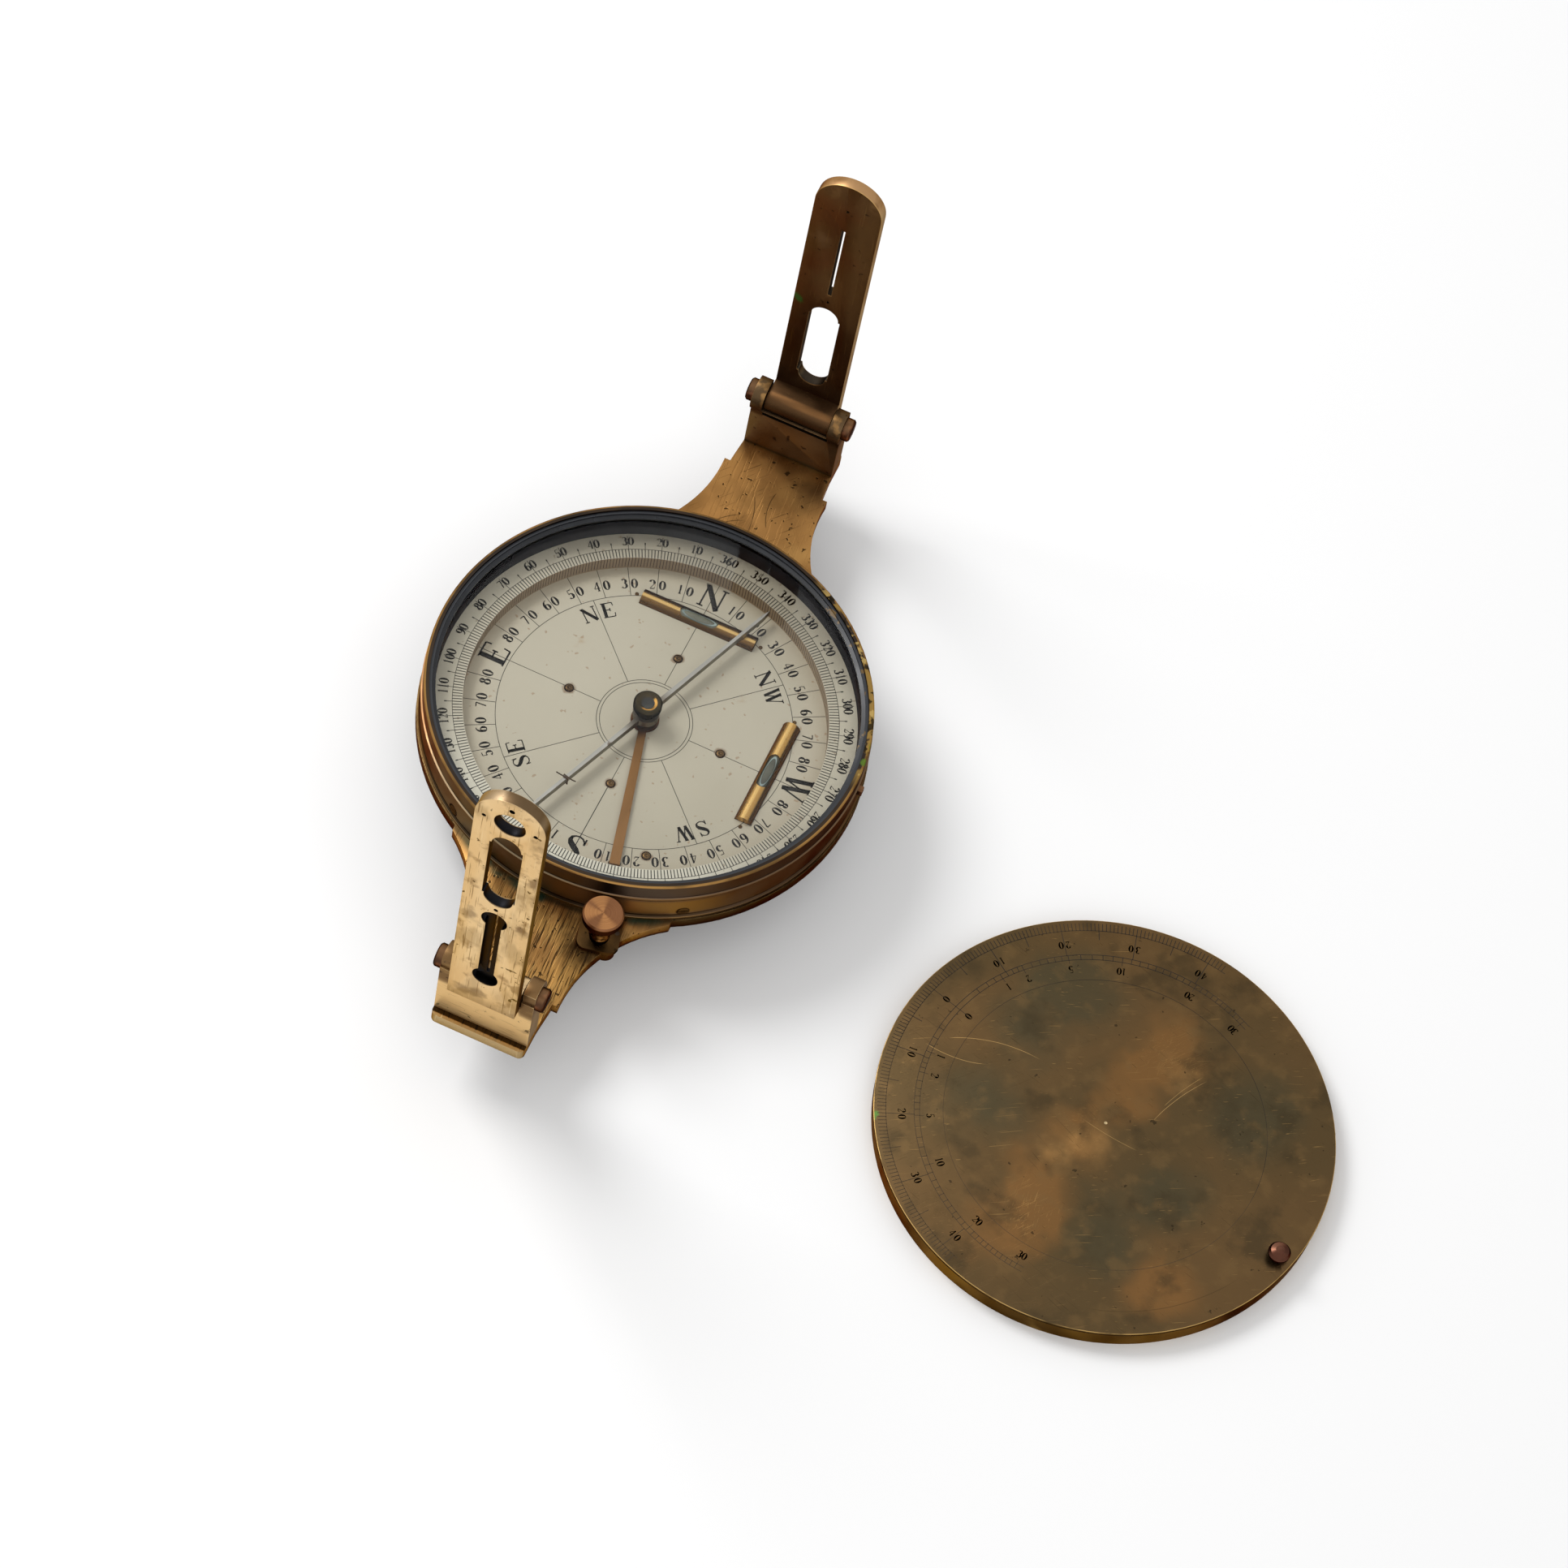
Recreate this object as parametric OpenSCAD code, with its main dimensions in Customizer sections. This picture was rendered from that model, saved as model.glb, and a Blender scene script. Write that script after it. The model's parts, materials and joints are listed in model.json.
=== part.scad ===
// Surveyor's compass with folding sights, two levels in the dial, a needle lifter
// and a loose brass cover. Millimetres, +Z up, dial level, north sight at +Y and
// west (the dial's left hand) at +X. The origin is the middle of the mouth of the
// staff socket, which is also the lowest level of the instrument.

/* [Box] */
// Outside diameter of the round box at its rim
rim_d = 140; // [130:1:160]
// Height of the wall from the main plate to the rim
wall_h = 18; // [17:0.5:24]
// Thickness of the wall below the glass seat
wall_t = 3.7; // [3:0.1:5]
// Width of the bright brass face around the rim
rim_face_w = 1.7; // [1.2:0.1:2.4]
// Depth from the rim to the ridge that the cover comes down to
ridge_drop = 6; // [5.5:0.5:8]
// How far the ridge stands out of the wall
ridge_out = 0.5; // [0.3:0.1:1]
// Thickness of the main plate with its two arms
plate_t = 4; // [4:0.5:7]
// How far the main plate stands out past the wall
plate_out = 1; // [0.5:0.1:2]

/* [Glass] */
// Thickness of the glass
glass_t = 1.6; // [1.2:0.1:2]
// Depth from the rim to the top of the glass
glass_drop = 2.7; // [2.4:0.1:3.2]
// Width of the blackened ring that holds the glass
glass_ring_w = 2.1; // [1.6:0.1:3]
// Height of the blackened ring that holds the glass
glass_ring_h = 1.9; // [1.2:0.1:2.2]

/* [Dial] */
// Thickness of the silvered dial plate
dial_t = 1.7; // [1.4:0.1:2.2]
// Height of the raised degree ring above the dial plate
degree_ring_h = 5.65; // [4.5:0.05:6]
// Width of the raised degree ring
degree_ring_w = 9; // [7:0.5:11]
// Diameter of a dial screw head
dial_screw_d = 3; // [2:0.1:4]
// Distance from the middle to the four inner dial screws
dial_screw_r = 25.9; // [22:0.1:28]

/* [Needle] */
// Gap between the needle's tips and the degree ring
needle_gap = 1.3; // [0.8:0.1:3]
// Height of the needle bar, which stands on edge
needle_h = 2.6; // [2:0.1:2.8]
// Thickness of the needle bar
needle_t = 1.5; // [1:0.1:2]
// Direction of the needle, from north towards west
needle_turn = 20.2; // [-180:0.1:180]
// Height of the underside of the needle above the dial plate
needle_rise = 2.9; // [2.8:0.1:3.2]
// Diameter of the head of the needle cap
cap_d = 9.06; // [8.4:0.1:11]
// Height of the needle cap
cap_h = 8.1; // [7.4:0.1:8.4]
// Diameter of the jewel in the needle cap
jewel_d = 4.2; // [3.2:0.1:5]

/* [Lifter] */
// Direction of the lifter lever, counter-clockwise from +X
lifter_angle = -76; // [-80:1:-70]
// Distance from the middle to the lever's pivot pin
fulcrum_r = 45; // [42:1:48]
// Distance from the rim to the lifter knob's axis
knob_out = 11; // [10:0.5:13]
// Thickness of the lever strip
lever_t = 1; // [0.8:0.1:1.1]
// Width of the lever strip at the middle of the dial
lever_w_in = 2.5; // [2:0.1:3]
// Width of the lever strip at its outer end
lever_w_out = 3.3; // [3:0.1:3.5]
// Diameter of the ring at the lever's inner end
lever_eye_d = 9; // [8:0.1:10]
// Diameter of the lifter knob's head
knob_d = 12.7; // [10:0.1:14]
// Height of the lifter knob's head
knob_head_h = 4.6; // [3:0.1:6]
// Height of the knob above the arm
knob_h = 18.5; // [15:0.5:22]
// Diameter of the lifter screw
lifter_screw_d = 3.4; // [3:0.1:3.6]
// How far a full turn of the lifter knob moves its screw down
lifter_travel = 0.8; // [0.6:0.1:0.8]

/* [Levels] */
// Outside diameter of a level tube
level_d = 5.5; // [4.8:0.1:5.6]
// Length of a level tube
level_len = 39; // [30:1:40]
// Distance from the middle to the axis of each level
level_r = 42; // [40:0.5:43]
// How far a level tube stands above the dial plate
level_proud = 2.4; // [2:0.1:2.5]
// Length of the opening over the bubble
level_window_len = 13; // [8:0.5:18]
// Width of the opening over the bubble
level_window_w = 3.7; // [2.5:0.1:4]

/* [Arms] */
// Distance from the rim to the shoulders of an arm
shoulder_out = 34.4; // [32:0.1:37]
// Width of an arm at its shoulders
shoulder_w = 35.8; // [34:0.1:40]
// Radius of the hollow curve at each side of an arm
arm_curve_r = 48.2; // [46:0.1:52]
// Width of an arm at its narrow end
arm_end_w = 30.8; // [30.8:0.1:33]
// Distance from the rim to the hinge block
block_out = 43.9; // [42:0.1:50]

/* [Hinges] */
// Thickness of a hinge block, in line with the arm
block_t = 7.3; // [6.8:0.1:9]
// Height of the hinge axis above the arm
hinge_h = 23.2; // [20:0.1:27]
// Diameter of the barrel of a sight
barrel_d = 9; // [8:0.1:9.2]
// Diameter of the ears of a hinge block
ear_d = 11.2; // [10:0.1:11.6]
// Width of an ear
ear_w = 4.05; // [3:0.05:5]
// Diameter of the hinge pin
pin_d = 3.2; // [2.4:0.1:4]
// Diameter of a hinge pin's head
pin_head_d = 7.6; // [6:0.1:9]
// Thickness of a hinge pin's head
pin_head_t = 2.6; // [1.5:0.1:4]

/* [Sights] */
// Width of a sight plate
sight_w = 22.1; // [20:0.1:23]
// Thickness of a sight plate
sight_t = 3.8; // [3:0.1:5]
// Height of a sight plate above the hinge axis
sight_h = 110.8; // [106:0.1:112]
// How far a sight plate reaches below the hinge axis
sight_foot = 3.8; // [3.4:0.1:4.2]
// Width of the wide window in a sight
window_w = 10.4; // [8:0.1:12]
// Length of the wide window in the north sight
north_window_len = 40; // [36:0.5:41]
// Length of the wide window in the south sight
south_window_len = 37.5; // [32:0.5:38]
// Height of the middle of the lower opening above the hinge axis
lower_mid = 29.1; // [28:0.1:30]
// Height of the middle of the upper opening above the hinge axis
upper_mid = 72.8; // [72:0.1:74]
// Length of the sighting slits
slit_len = 33; // [28:0.5:34]
// Width of the north sight's slit
north_slit_w = 1.3; // [0.8:0.1:2]
// Width of the south sight's slit
south_slit_w = 0.8; // [0.5:0.1:1.5]
// Diameter of the round hole in the south sight
peep_d = 9.8; // [6:0.1:10]
// Height of the round holes above the hinge axis
peep_mid = 99.1; // [98:0.1:99.5]

/* [Staff socket] */
// Height of the socket under the main plate
socket_h = 22; // [20:0.5:30]
// Outside diameter of the socket
socket_d = 34; // [28:0.5:36]
// Diameter of the bore for the staff
socket_bore_d = 19; // [16:0.5:21]
// Depth of the bore for the staff
socket_bore_len = 20; // [16:0.5:20]
// Diameter of the socket's flange
flange_d = 50; // [48:0.5:56]
// Diameter of the clamp screw
clamp_d = 5; // [4:0.1:6]
// Diameter of the clamp screw's knob
clamp_knob_d = 13; // [9:0.5:15]
// Travel of the clamp screw into the bore
clamp_travel = 1; // [0.8:0.1:1.5]

/* [Cover] */
// Thickness of the cover's top
cover_t = 1.2; // [1:0.1:2]
// Thickness of the cover's skirt
cover_wall = 1.4; // [1:0.1:2]
// Diameter of the cover's knob
cover_knob_d = 7; // [5:0.1:9]
// Sideways place of the cover beside the box
cover_x = 181.5; // [170:0.5:220]
// Place of the cover in line with the sights
cover_y = -53.5; // [-80:0.5:0]

/* [Hidden] */

// Small clearances
seat_gap = 0.1;     // a loose seat, such as a plate in a ring
running_gap = 0.05; // a pin or shaft that turns in its hole
slide_gap = 0.3;    // a moving piece beside a wall
stop_gap = 0.05;    // a sight plate at the stop of its block

// Levels from the mouth of the socket upward
plate_z = socket_h;
floor_z = plate_z + plate_t;
rim_z = floor_z + wall_h;
dial_z = floor_z + dial_t;
ring_z = dial_z + degree_ring_h;
glass_top_z = rim_z - glass_drop;
glass_z = glass_top_z - glass_t;
hinge_z = floor_z + hinge_h;

// Radii of the box
rim_r = rim_d / 2;
wall_in_r = rim_r - wall_t;
rim_in_r = rim_r - rim_face_w;
plate_r = rim_r + plate_out;
ridge_h = 1;
dial_r = wall_in_r - seat_gap;
ring_in_r = dial_r - degree_ring_w;

// Wall screws hold the degree ring from outside
wall_screw_angles = [56.4, 123.6, -56.4, -123.6];
wall_screw_r = 1.7;
wall_screw_shank_r = 1;
wall_screw_z = dial_z + 2;
wall_pin_angle = 2;
wall_pin_w = 2.2;
wall_pin_out = 2;
wall_pin_z = rim_z - ridge_drop - wall_pin_w - 0.2;

// Screws of the dial: four on the lines, one in the number band
outer_dial_screw = [20.45, -44.48];
dial_screws_at = concat([for (a = [0:90:270]) dial_screw_r * [cos(a), sin(a)]], [outer_dial_screw]);
dial_screw_shank_r = 0.9;
dial_screw_depth = 2.2;

// Pivot in the middle of the dial
post_r = 1.5;
post_top_z = dial_z + 3;
post_root = 2;
pivot_r = 0.6;
pivot_root = 2;

// Needle and its cap
needle_z = dial_z + needle_rise;
needle_r = ring_in_r - needle_gap;
cap_z = needle_z - 0.2;
cap_top_z = cap_z + cap_h;
cap_head_h = 2.7;
cap_neck_r = 3.2;
cap_bore_r = 1.9;
jewel_t = 2.1;
jewel_drop = 0.4;
jewel_z = cap_top_z - jewel_drop - jewel_t;
pivot_tip_z = jewel_z + 0.8;
coil_r = 35.8;
coil_wire = 0.5;
coil_end = 3.3;
needle_point = 3;

// Lifter, laid out along its own direction from the middle of the dial
knob_r = rim_r + knob_out;
lever_clear = 0.4;
lever_top_z = dial_z + lever_clear;
lever_leg_r = ring_in_r - 3.8;
lever_leg_t = 1.2;
lever_low_z = floor_z - lever_t - 0.6;
lever_tail = 2;
lever_pin_r = 0.6;
lever_boss_r = 1.05;
lever_pin_z = floor_z - lever_boss_r - 0.05;
groove_w = lever_w_out + 2 * slide_gap;
groove_z = floor_z - 2.8;
groove_in_r = fulcrum_r - 4;
bridge_t = 1.4;
bridge_w = 13;
bridge_end = 3.5;
bridge_screw_at = [-4, 5.2];
bridge_screw_r = 0.8;
collar_r = 2.9;
collar_z = lever_top_z + lever_t + seat_gap;
lug_r = 3;
lug_at = [2.6, -0.3];

// Levels
level_z = dial_z + level_proud - level_d / 2;
level_bore_r = level_d / 2 - 0.55;
level_plug = 2;
level_pin_r = 0.65;
level_pin_past = 1.9;

// Arms: distances from the middle along the arm
shoulder_y = rim_r + shoulder_out;
block_y = rim_r + block_out;
block_end_y = block_y + block_t;
arm_end_y = block_end_y + 2.8;
arm_step = 1.7;
shoulder_len = 3.6;
arm_root = 20;
arm_corner_r = 2;
flare_angle = 31;
hinge_y = block_y + 3.2;
block_w = sight_w + 2 * slide_gap + 2 * ear_w;
ear_setback = 0.7;
lip_drop = 6.3;
block_screw_r = 1.5;
block_screw_head_r = 2.8;
block_screw_x = 10;
block_screw_grip = 7;
block_screw_z = floor_z + block_screw_grip;

// Staff socket
flange_t = 3;
socket_screw_r = 1.5;
socket_screw_head_r = 2.6;
socket_screw_head_t = 1.6;
socket_screw_pc_r = (socket_d + flange_d) / 4;
clamp_z = 8;
clamp_out = 4.5;
clamp_knob_t = 6;
clamp_neck_r = clamp_d / 2 - 0.7;

// Cover, lying on its skirt with its engraved face up
skirt_in_r = rim_r + slide_gap;
skirt_h = ridge_drop - seat_gap;
cover_r = skirt_in_r + cover_wall;
cover_top_z = skirt_h + cover_t;
cover_knob_angle = -15.9;
cover_knob_inset = 5;
cover_knob_stem_r = 1.2;
cover_knob_h = 4.3;

// Turns its children round the middle to one of the compass directions
module around(angle) {
  rotate([0, 0, angle]) children();
}

// Repeats its children for the north and the south arm
module both_arms() {
  for (turn = [0, 180]) around(turn) children();
}

// A cylinder lying along X, centred on the given y and z
module x_rod(r, from_x, to_x, y = 0, z = 0) {
  translate([from_x, y, z]) rotate([0, 90, 0]) cylinder(r = r, h = to_x - from_x, $fn = 48);
}

// A flat bar with round ends, lying along X and centred
module round_bar(len, w, h) {
  union() {
    translate([-(len - w) / 2, -w / 2, 0]) cube([len - w, w, h]);
    for (s = [-1, 1]) translate([s * (len - w) / 2, 0, 0]) cylinder(d = w, h = h, $fn = 32);
  }
}

// Outline of one arm, drawn along +Y
module arm_outline() {
  flare_x = plate_r * sin(flare_angle);
  flare_y = plate_r * cos(flare_angle);
  neck_x = shoulder_w / 2 - arm_step;
  end_x = arm_end_w / 2;
  difference() {
    translate([-flare_x, flare_y - arm_root]) square([2 * flare_x, shoulder_y - flare_y + arm_root]);
    for (s = [-1, 1]) translate([s * (shoulder_w / 2 + arm_curve_r), shoulder_y - shoulder_len])
      circle(r = arm_curve_r, $fn = 240);
  }
  polygon([[-neck_x, shoulder_y - 1], [neck_x, shoulder_y - 1], [end_x, block_y],
    [end_x, arm_end_y - arm_corner_r], [end_x - arm_corner_r, arm_end_y],
    [arm_corner_r - end_x, arm_end_y], [-end_x, arm_end_y - arm_corner_r], [-end_x, block_y]]);
  for (s = [-1, 1]) translate([s * (end_x - arm_corner_r), arm_end_y - arm_corner_r])
    circle(r = arm_corner_r, $fn = 32);
}

// Space for the lifter lever in the main plate, from its pivot out to the knob
module lever_groove() {
  around(lifter_angle) {
    translate([groove_in_r, -groove_w / 2, groove_z])
      cube([knob_r + lever_tail + slide_gap - groove_in_r, groove_w, floor_z - groove_z + 1]);
    translate([fulcrum_r - lever_pin_r, -groove_w, lever_pin_z - lever_pin_r])
      cube([2 * lever_pin_r, 2 * groove_w, floor_z - lever_pin_z + lever_pin_r + 1]);
  }
}

// Space for the two level tubes, with a small gap round each
module level_pockets() {
  for (turn = [0, -90]) around(turn)
    translate([-level_len / 2 - seat_gap, level_r - level_d / 2 - seat_gap, level_z - level_d / 2 - 0.05])
      cube([level_len + 2 * seat_gap, level_d + 2 * seat_gap, level_d]);
}

// Repeats its children at the four pins beside the ends of the levels
module level_pin_places(z) {
  pin_x = level_len / 2 + level_pin_past;
  for (turn = [0, -90], s = [-1, 1]) around(turn) translate([s * pin_x, level_r, z]) children();
}

// Main plate: round floor of the box and two arms, cut from one sheet
module main_plate() {
  color("darkgoldenrod") difference() {
    translate([0, 0, plate_z]) linear_extrude(plate_t) {
      circle(r = plate_r, $fn = 240);
      both_arms() arm_outline();
      around(lifter_angle + 90) translate([lug_at[0], lug_at[1] - knob_r]) circle(r = lug_r, $fn = 48);
    }
    lever_groove();
    level_pockets();
    for (p = dial_screws_at) translate([p[0], p[1], floor_z - dial_screw_depth])
      cylinder(r = dial_screw_shank_r, h = dial_screw_depth + 1, $fn = 24);
    translate([0, 0, floor_z - post_root]) cylinder(r = post_r, h = post_root + 1, $fn = 32);
    both_arms() for (s = [-1, 1]) translate([s * block_screw_x, block_y + block_t / 2, plate_z - 1]) {
      cylinder(r = block_screw_r, h = plate_t + 2, $fn = 32);
      cylinder(r = block_screw_head_r, h = 1 + plate_t / 2, $fn = 32);
    }
    for (a = [45:90:315]) around(a) translate([socket_screw_pc_r, 0, plate_z - 1])
      cylinder(r = socket_screw_r, h = 1 + plate_t - 1.2, $fn = 32);
  }
}

// Wall of the box: rim, ridge for the cover, seat for the glass and a small foot
module box_wall() {
  top = rim_z;
  ridge_z = rim_z - ridge_drop;
  color("peru") difference() {
    rotate_extrude($fn = 240) polygon([
      [wall_in_r, floor_z], [rim_r + ridge_out, floor_z], [rim_r + ridge_out, floor_z + 0.8],
      [rim_r, floor_z + 1.6], [rim_r, ridge_z - ridge_h], [rim_r + ridge_out, ridge_z - ridge_h + 0.2],
      [rim_r + ridge_out, ridge_z - 0.2], [rim_r, ridge_z], [rim_r, top - 0.3], [rim_r - 0.3, top],
      [rim_in_r, top], [rim_in_r, glass_z], [wall_in_r, glass_z]]);
    for (a = wall_screw_angles) around(a)
      x_rod(wall_screw_shank_r, wall_in_r - 1, rim_r + 1, z = wall_screw_z);
    for (a = wall_screw_angles) around(a) x_rod(wall_screw_r, rim_r - 1, rim_r + 1, z = wall_screw_z);
    around(wall_pin_angle) translate([rim_r - 1.5, -wall_pin_w / 2, wall_pin_z])
      cube([3, wall_pin_w, wall_pin_w]);
  }
}

// Small square pin in the west side of the wall
module wall_pin() {
  color("saddlebrown") around(wall_pin_angle) translate([rim_r - 1.5, -wall_pin_w / 2, wall_pin_z])
    cube([1.5 + wall_pin_out, wall_pin_w, wall_pin_w]);
}

// Slotted screws through the wall into the degree ring
module wall_screws() {
  slot = 0.45;
  color("sienna") for (a = wall_screw_angles) around(a) difference() {
    union() {
      x_rod(wall_screw_shank_r, wall_in_r - 3, rim_r - 1, z = wall_screw_z);
      x_rod(wall_screw_r, rim_r - 1, rim_r + 0.1, z = wall_screw_z);
    }
    translate([rim_r - 0.5, -wall_screw_r - 1, wall_screw_z - slot / 2])
      cube([2, 2 * wall_screw_r + 2, slot]);
  }
}

// Glass disc on the seat in the wall
module glass() {
  color("lightcyan", 0.4) translate([0, 0, glass_z])
    cylinder(r = rim_in_r - seat_gap, h = glass_t, $fn = 240);
}

// Blackened ring with a step, pressed in over the glass
module glass_ring() {
  out = rim_in_r;
  step = glass_ring_w * 0.45;
  color("dimgray") rotate_extrude($fn = 240) polygon([
    [out - glass_ring_w, glass_top_z], [out, glass_top_z], [out, glass_top_z + glass_ring_h],
    [out - step, glass_top_z + glass_ring_h], [out - step, glass_top_z + glass_ring_h * 0.55],
    [out - glass_ring_w, glass_top_z + glass_ring_h * 0.35]]);
}

// Silvered dial plate on the floor of the box
module dial_plate() {
  slot_len = lever_leg_t + 2 * slide_gap;
  color("gainsboro") difference() {
    translate([0, 0, floor_z]) cylinder(r = dial_r, h = dial_t, $fn = 240);
    level_pockets();
    for (p = dial_screws_at) translate([p[0], p[1], floor_z - 1]) {
      cylinder(r = dial_screw_shank_r, h = dial_t + 2, $fn = 24);
      translate([0, 0, 1 + dial_t / 2]) cylinder(d = dial_screw_d + 2 * seat_gap, h = dial_t, $fn = 32);
    }
    level_pin_places(floor_z - 1) cylinder(r = level_pin_r, h = dial_t + 2, $fn = 24);
    translate([0, 0, floor_z - 1]) cylinder(r = post_r + seat_gap, h = dial_t + 2, $fn = 32);
    around(lifter_angle) translate([lever_leg_r - slot_len / 2, -groove_w / 2, floor_z - 1])
      cube([slot_len, groove_w, dial_t + 2]);
  }
}

// Raised degree ring round the dial
module degree_ring() {
  color("silver") difference() {
    translate([0, 0, dial_z]) cylinder(r = dial_r, h = degree_ring_h, $fn = 240);
    translate([0, 0, dial_z - 1]) cylinder(r = ring_in_r, h = degree_ring_h + 2, $fn = 240);
    for (a = wall_screw_angles) around(a)
      x_rod(wall_screw_shank_r, wall_in_r - 3, dial_r + 1, z = wall_screw_z);
  }
}

// Round-headed screws that hold the dial plate down
module dial_screws() {
  color("saddlebrown") for (p = dial_screws_at) translate([p[0], p[1], 0]) {
    translate([0, 0, floor_z - dial_screw_depth + 0.2])
      cylinder(r = dial_screw_shank_r, h = dial_t / 2 + dial_screw_depth - 0.2, $fn = 24);
    translate([0, 0, floor_z + dial_t / 2]) cylinder(d = dial_screw_d, h = dial_t / 2 + 0.1, $fn = 32);
  }
}

// Brass post screwed into the floor, which guides the lift collar
module pivot_post() {
  color("goldenrod") difference() {
    translate([0, 0, floor_z - post_root])
      cylinder(r = post_r, h = post_top_z - floor_z + post_root, $fn = 32);
    translate([0, 0, post_top_z - pivot_root]) cylinder(r = pivot_r, h = pivot_root + 1, $fn = 24);
  }
}

// Steel pivot with a sharp point under the jewel
module pivot_pin() {
  point_h = 1.6;
  color("slategray") translate([0, 0, post_top_z - pivot_root]) rotate_extrude($fn = 32) polygon([
    [0, 0], [pivot_r, 0], [pivot_r, pivot_tip_z - post_top_z + pivot_root - point_h],
    [0, pivot_tip_z - post_top_z + pivot_root]]);
}

// Brass tube of a level with a long opening over the bubble
module level_tube() {
  translate([0, level_r, level_z]) difference() {
    x_rod(level_d / 2, -level_len / 2, level_len / 2);
    x_rod(level_bore_r, -level_len / 2 + level_plug, level_len / 2 - level_plug);
    round_bar(level_window_len, level_window_w, level_d);
  }
}

// Glass vial inside a level tube
module level_vial() {
  vial_len = level_len - 2 * level_plug - 2 * seat_gap;
  translate([0, level_r, level_z]) x_rod(level_bore_r - running_gap, -vial_len / 2, vial_len / 2);
}

module north_level_tube() {
  color("goldenrod") level_tube();
}

module north_level_vial() {
  color("lightsteelblue") level_vial();
}

module west_level_tube() {
  color("goldenrod") around(-90) level_tube();
}

module west_level_vial() {
  color("lightsteelblue") around(-90) level_vial();
}

// Four small pins beside the ends of the levels
module level_pins() {
  color("saddlebrown") level_pin_places(floor_z) cylinder(r = level_pin_r, h = dial_t + 0.15, $fn = 24);
}

// Magnetic needle: a thin bar on edge with an eye round the neck of the cap
module needle_bar() {
  eye_wall = 1;
  eye_r = cap_neck_r + eye_wall;
  half_t = needle_t / 2;
  shoulder_r = needle_r - needle_point;
  color("lightslategray") around(-needle_turn) translate([0, 0, needle_z]) difference() {
    union() {
      linear_extrude(needle_h) for (turn = [0, 180]) rotate(turn)
        polygon([[-half_t, 0], [-0.6 * half_t, shoulder_r], [0, needle_r], [0.6 * half_t, shoulder_r],
          [half_t, 0]]);
      cylinder(r = eye_r, h = needle_h, $fn = 48);
    }
    translate([0, 0, -1]) cylinder(r = cap_neck_r, h = needle_h + 2, $fn = 48);
  }
}

// Brass cap at the middle of the needle, with a head and a neck
module needle_cap() {
  head_r = cap_d / 2;
  jewel_r = jewel_d / 2;
  color("darkolivegreen") translate([0, 0, cap_z]) rotate_extrude($fn = 64) polygon([
    [cap_bore_r, 0], [cap_neck_r, 0], [cap_neck_r, cap_h - cap_head_h - 1],
    [head_r - 0.4, cap_h - cap_head_h],
    [head_r, cap_h - cap_head_h + 0.4], [head_r, cap_h - 0.4], [head_r - 0.4, cap_h],
    [jewel_r + 0.6, cap_h], [jewel_r, cap_h - jewel_drop], [jewel_r, cap_h - jewel_drop - jewel_t],
    [cap_bore_r, cap_h - jewel_drop - jewel_t]]);
}

// Jewel in the cap, hollowed underneath for the pivot's point
module cap_jewel() {
  hollow_h = pivot_tip_z - jewel_z + 0.1;
  color("darkslategray") translate([0, 0, jewel_z]) rotate_extrude($fn = 48) polygon([
    [0, hollow_h], [hollow_h * 0.9, 0], [jewel_d / 2, 0], [jewel_d / 2, jewel_t], [0, jewel_t]]);
}

// Wire balance slid over the south half of the needle, with both ends left long
module balance_coil() {
  gap = 0.05;
  coil_w = 1.6;
  high = needle_h + 2 * coil_wire + 2 * gap;
  wide = needle_t + 2 * coil_wire + 2 * gap;
  color("dimgray") around(-needle_turn) translate([0, -coil_r, needle_z + needle_h / 2]) {
    difference() {
      cube([wide, coil_w, high], center = true);
      cube([needle_t + 2 * gap, coil_w + 1, needle_h + 2 * gap], center = true);
    }
    translate([0, (coil_w - coil_wire) / 2 - coil_wire / 2, needle_h / 2 + gap])
      cube([coil_end, coil_wire, coil_wire]);
    translate([-coil_end, -coil_w / 2, needle_h / 2 + gap]) cube([coil_end, coil_wire, coil_wire]);
  }
}

// Small tube on the pivot post that lifts the needle off its point
module lift_collar() {
  color("sienna") translate([0, 0, collar_z]) difference() {
    cylinder(r = collar_r, h = cap_z - collar_z - seat_gap, $fn = 48);
    translate([0, 0, -1]) cylinder(r = post_r + running_gap, h = cap_z - collar_z + 2, $fn = 48);
  }
}

// Lifter lever: strip over the dial, leg through the dial, pivot eye and tail under the wall
module lifter_lever() {
  eye_r = lever_eye_d / 2;
  leg_in = lever_leg_r - lever_leg_t / 2;
  leg_out = lever_leg_r + lever_leg_t / 2;
  eye_z = lever_pin_z;
  color("peru") around(lifter_angle) difference() {
    union() {
      translate([0, 0, lever_top_z]) linear_extrude(lever_t) {
        circle(r = eye_r, $fn = 64);
        polygon([[0, -lever_w_in / 2], [leg_out, -lever_w_out / 2], [leg_out, lever_w_out / 2],
          [0, lever_w_in / 2]]);
      }
      translate([leg_in, -lever_w_out / 2, lever_low_z])
        cube([lever_leg_t, lever_w_out, lever_top_z + lever_t - lever_low_z]);
      translate([fulcrum_r, -lever_w_out / 2, lever_low_z])
        cube([knob_r + lever_tail - fulcrum_r, lever_w_out, lever_t]);
      translate([fulcrum_r, lever_w_out / 2, eye_z]) rotate([90, 0, 0])
        cylinder(r = lever_boss_r, h = lever_w_out, $fn = 32);
    }
    translate([0, 0, lever_top_z - 1]) cylinder(r = post_r + 0.5, h = lever_t + 2, $fn = 32);
    translate([fulcrum_r, lever_w_out, eye_z]) rotate([90, 0, 0])
      cylinder(r = lever_pin_r + running_gap, h = 2 * lever_w_out, $fn = 24);
  }
}

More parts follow.
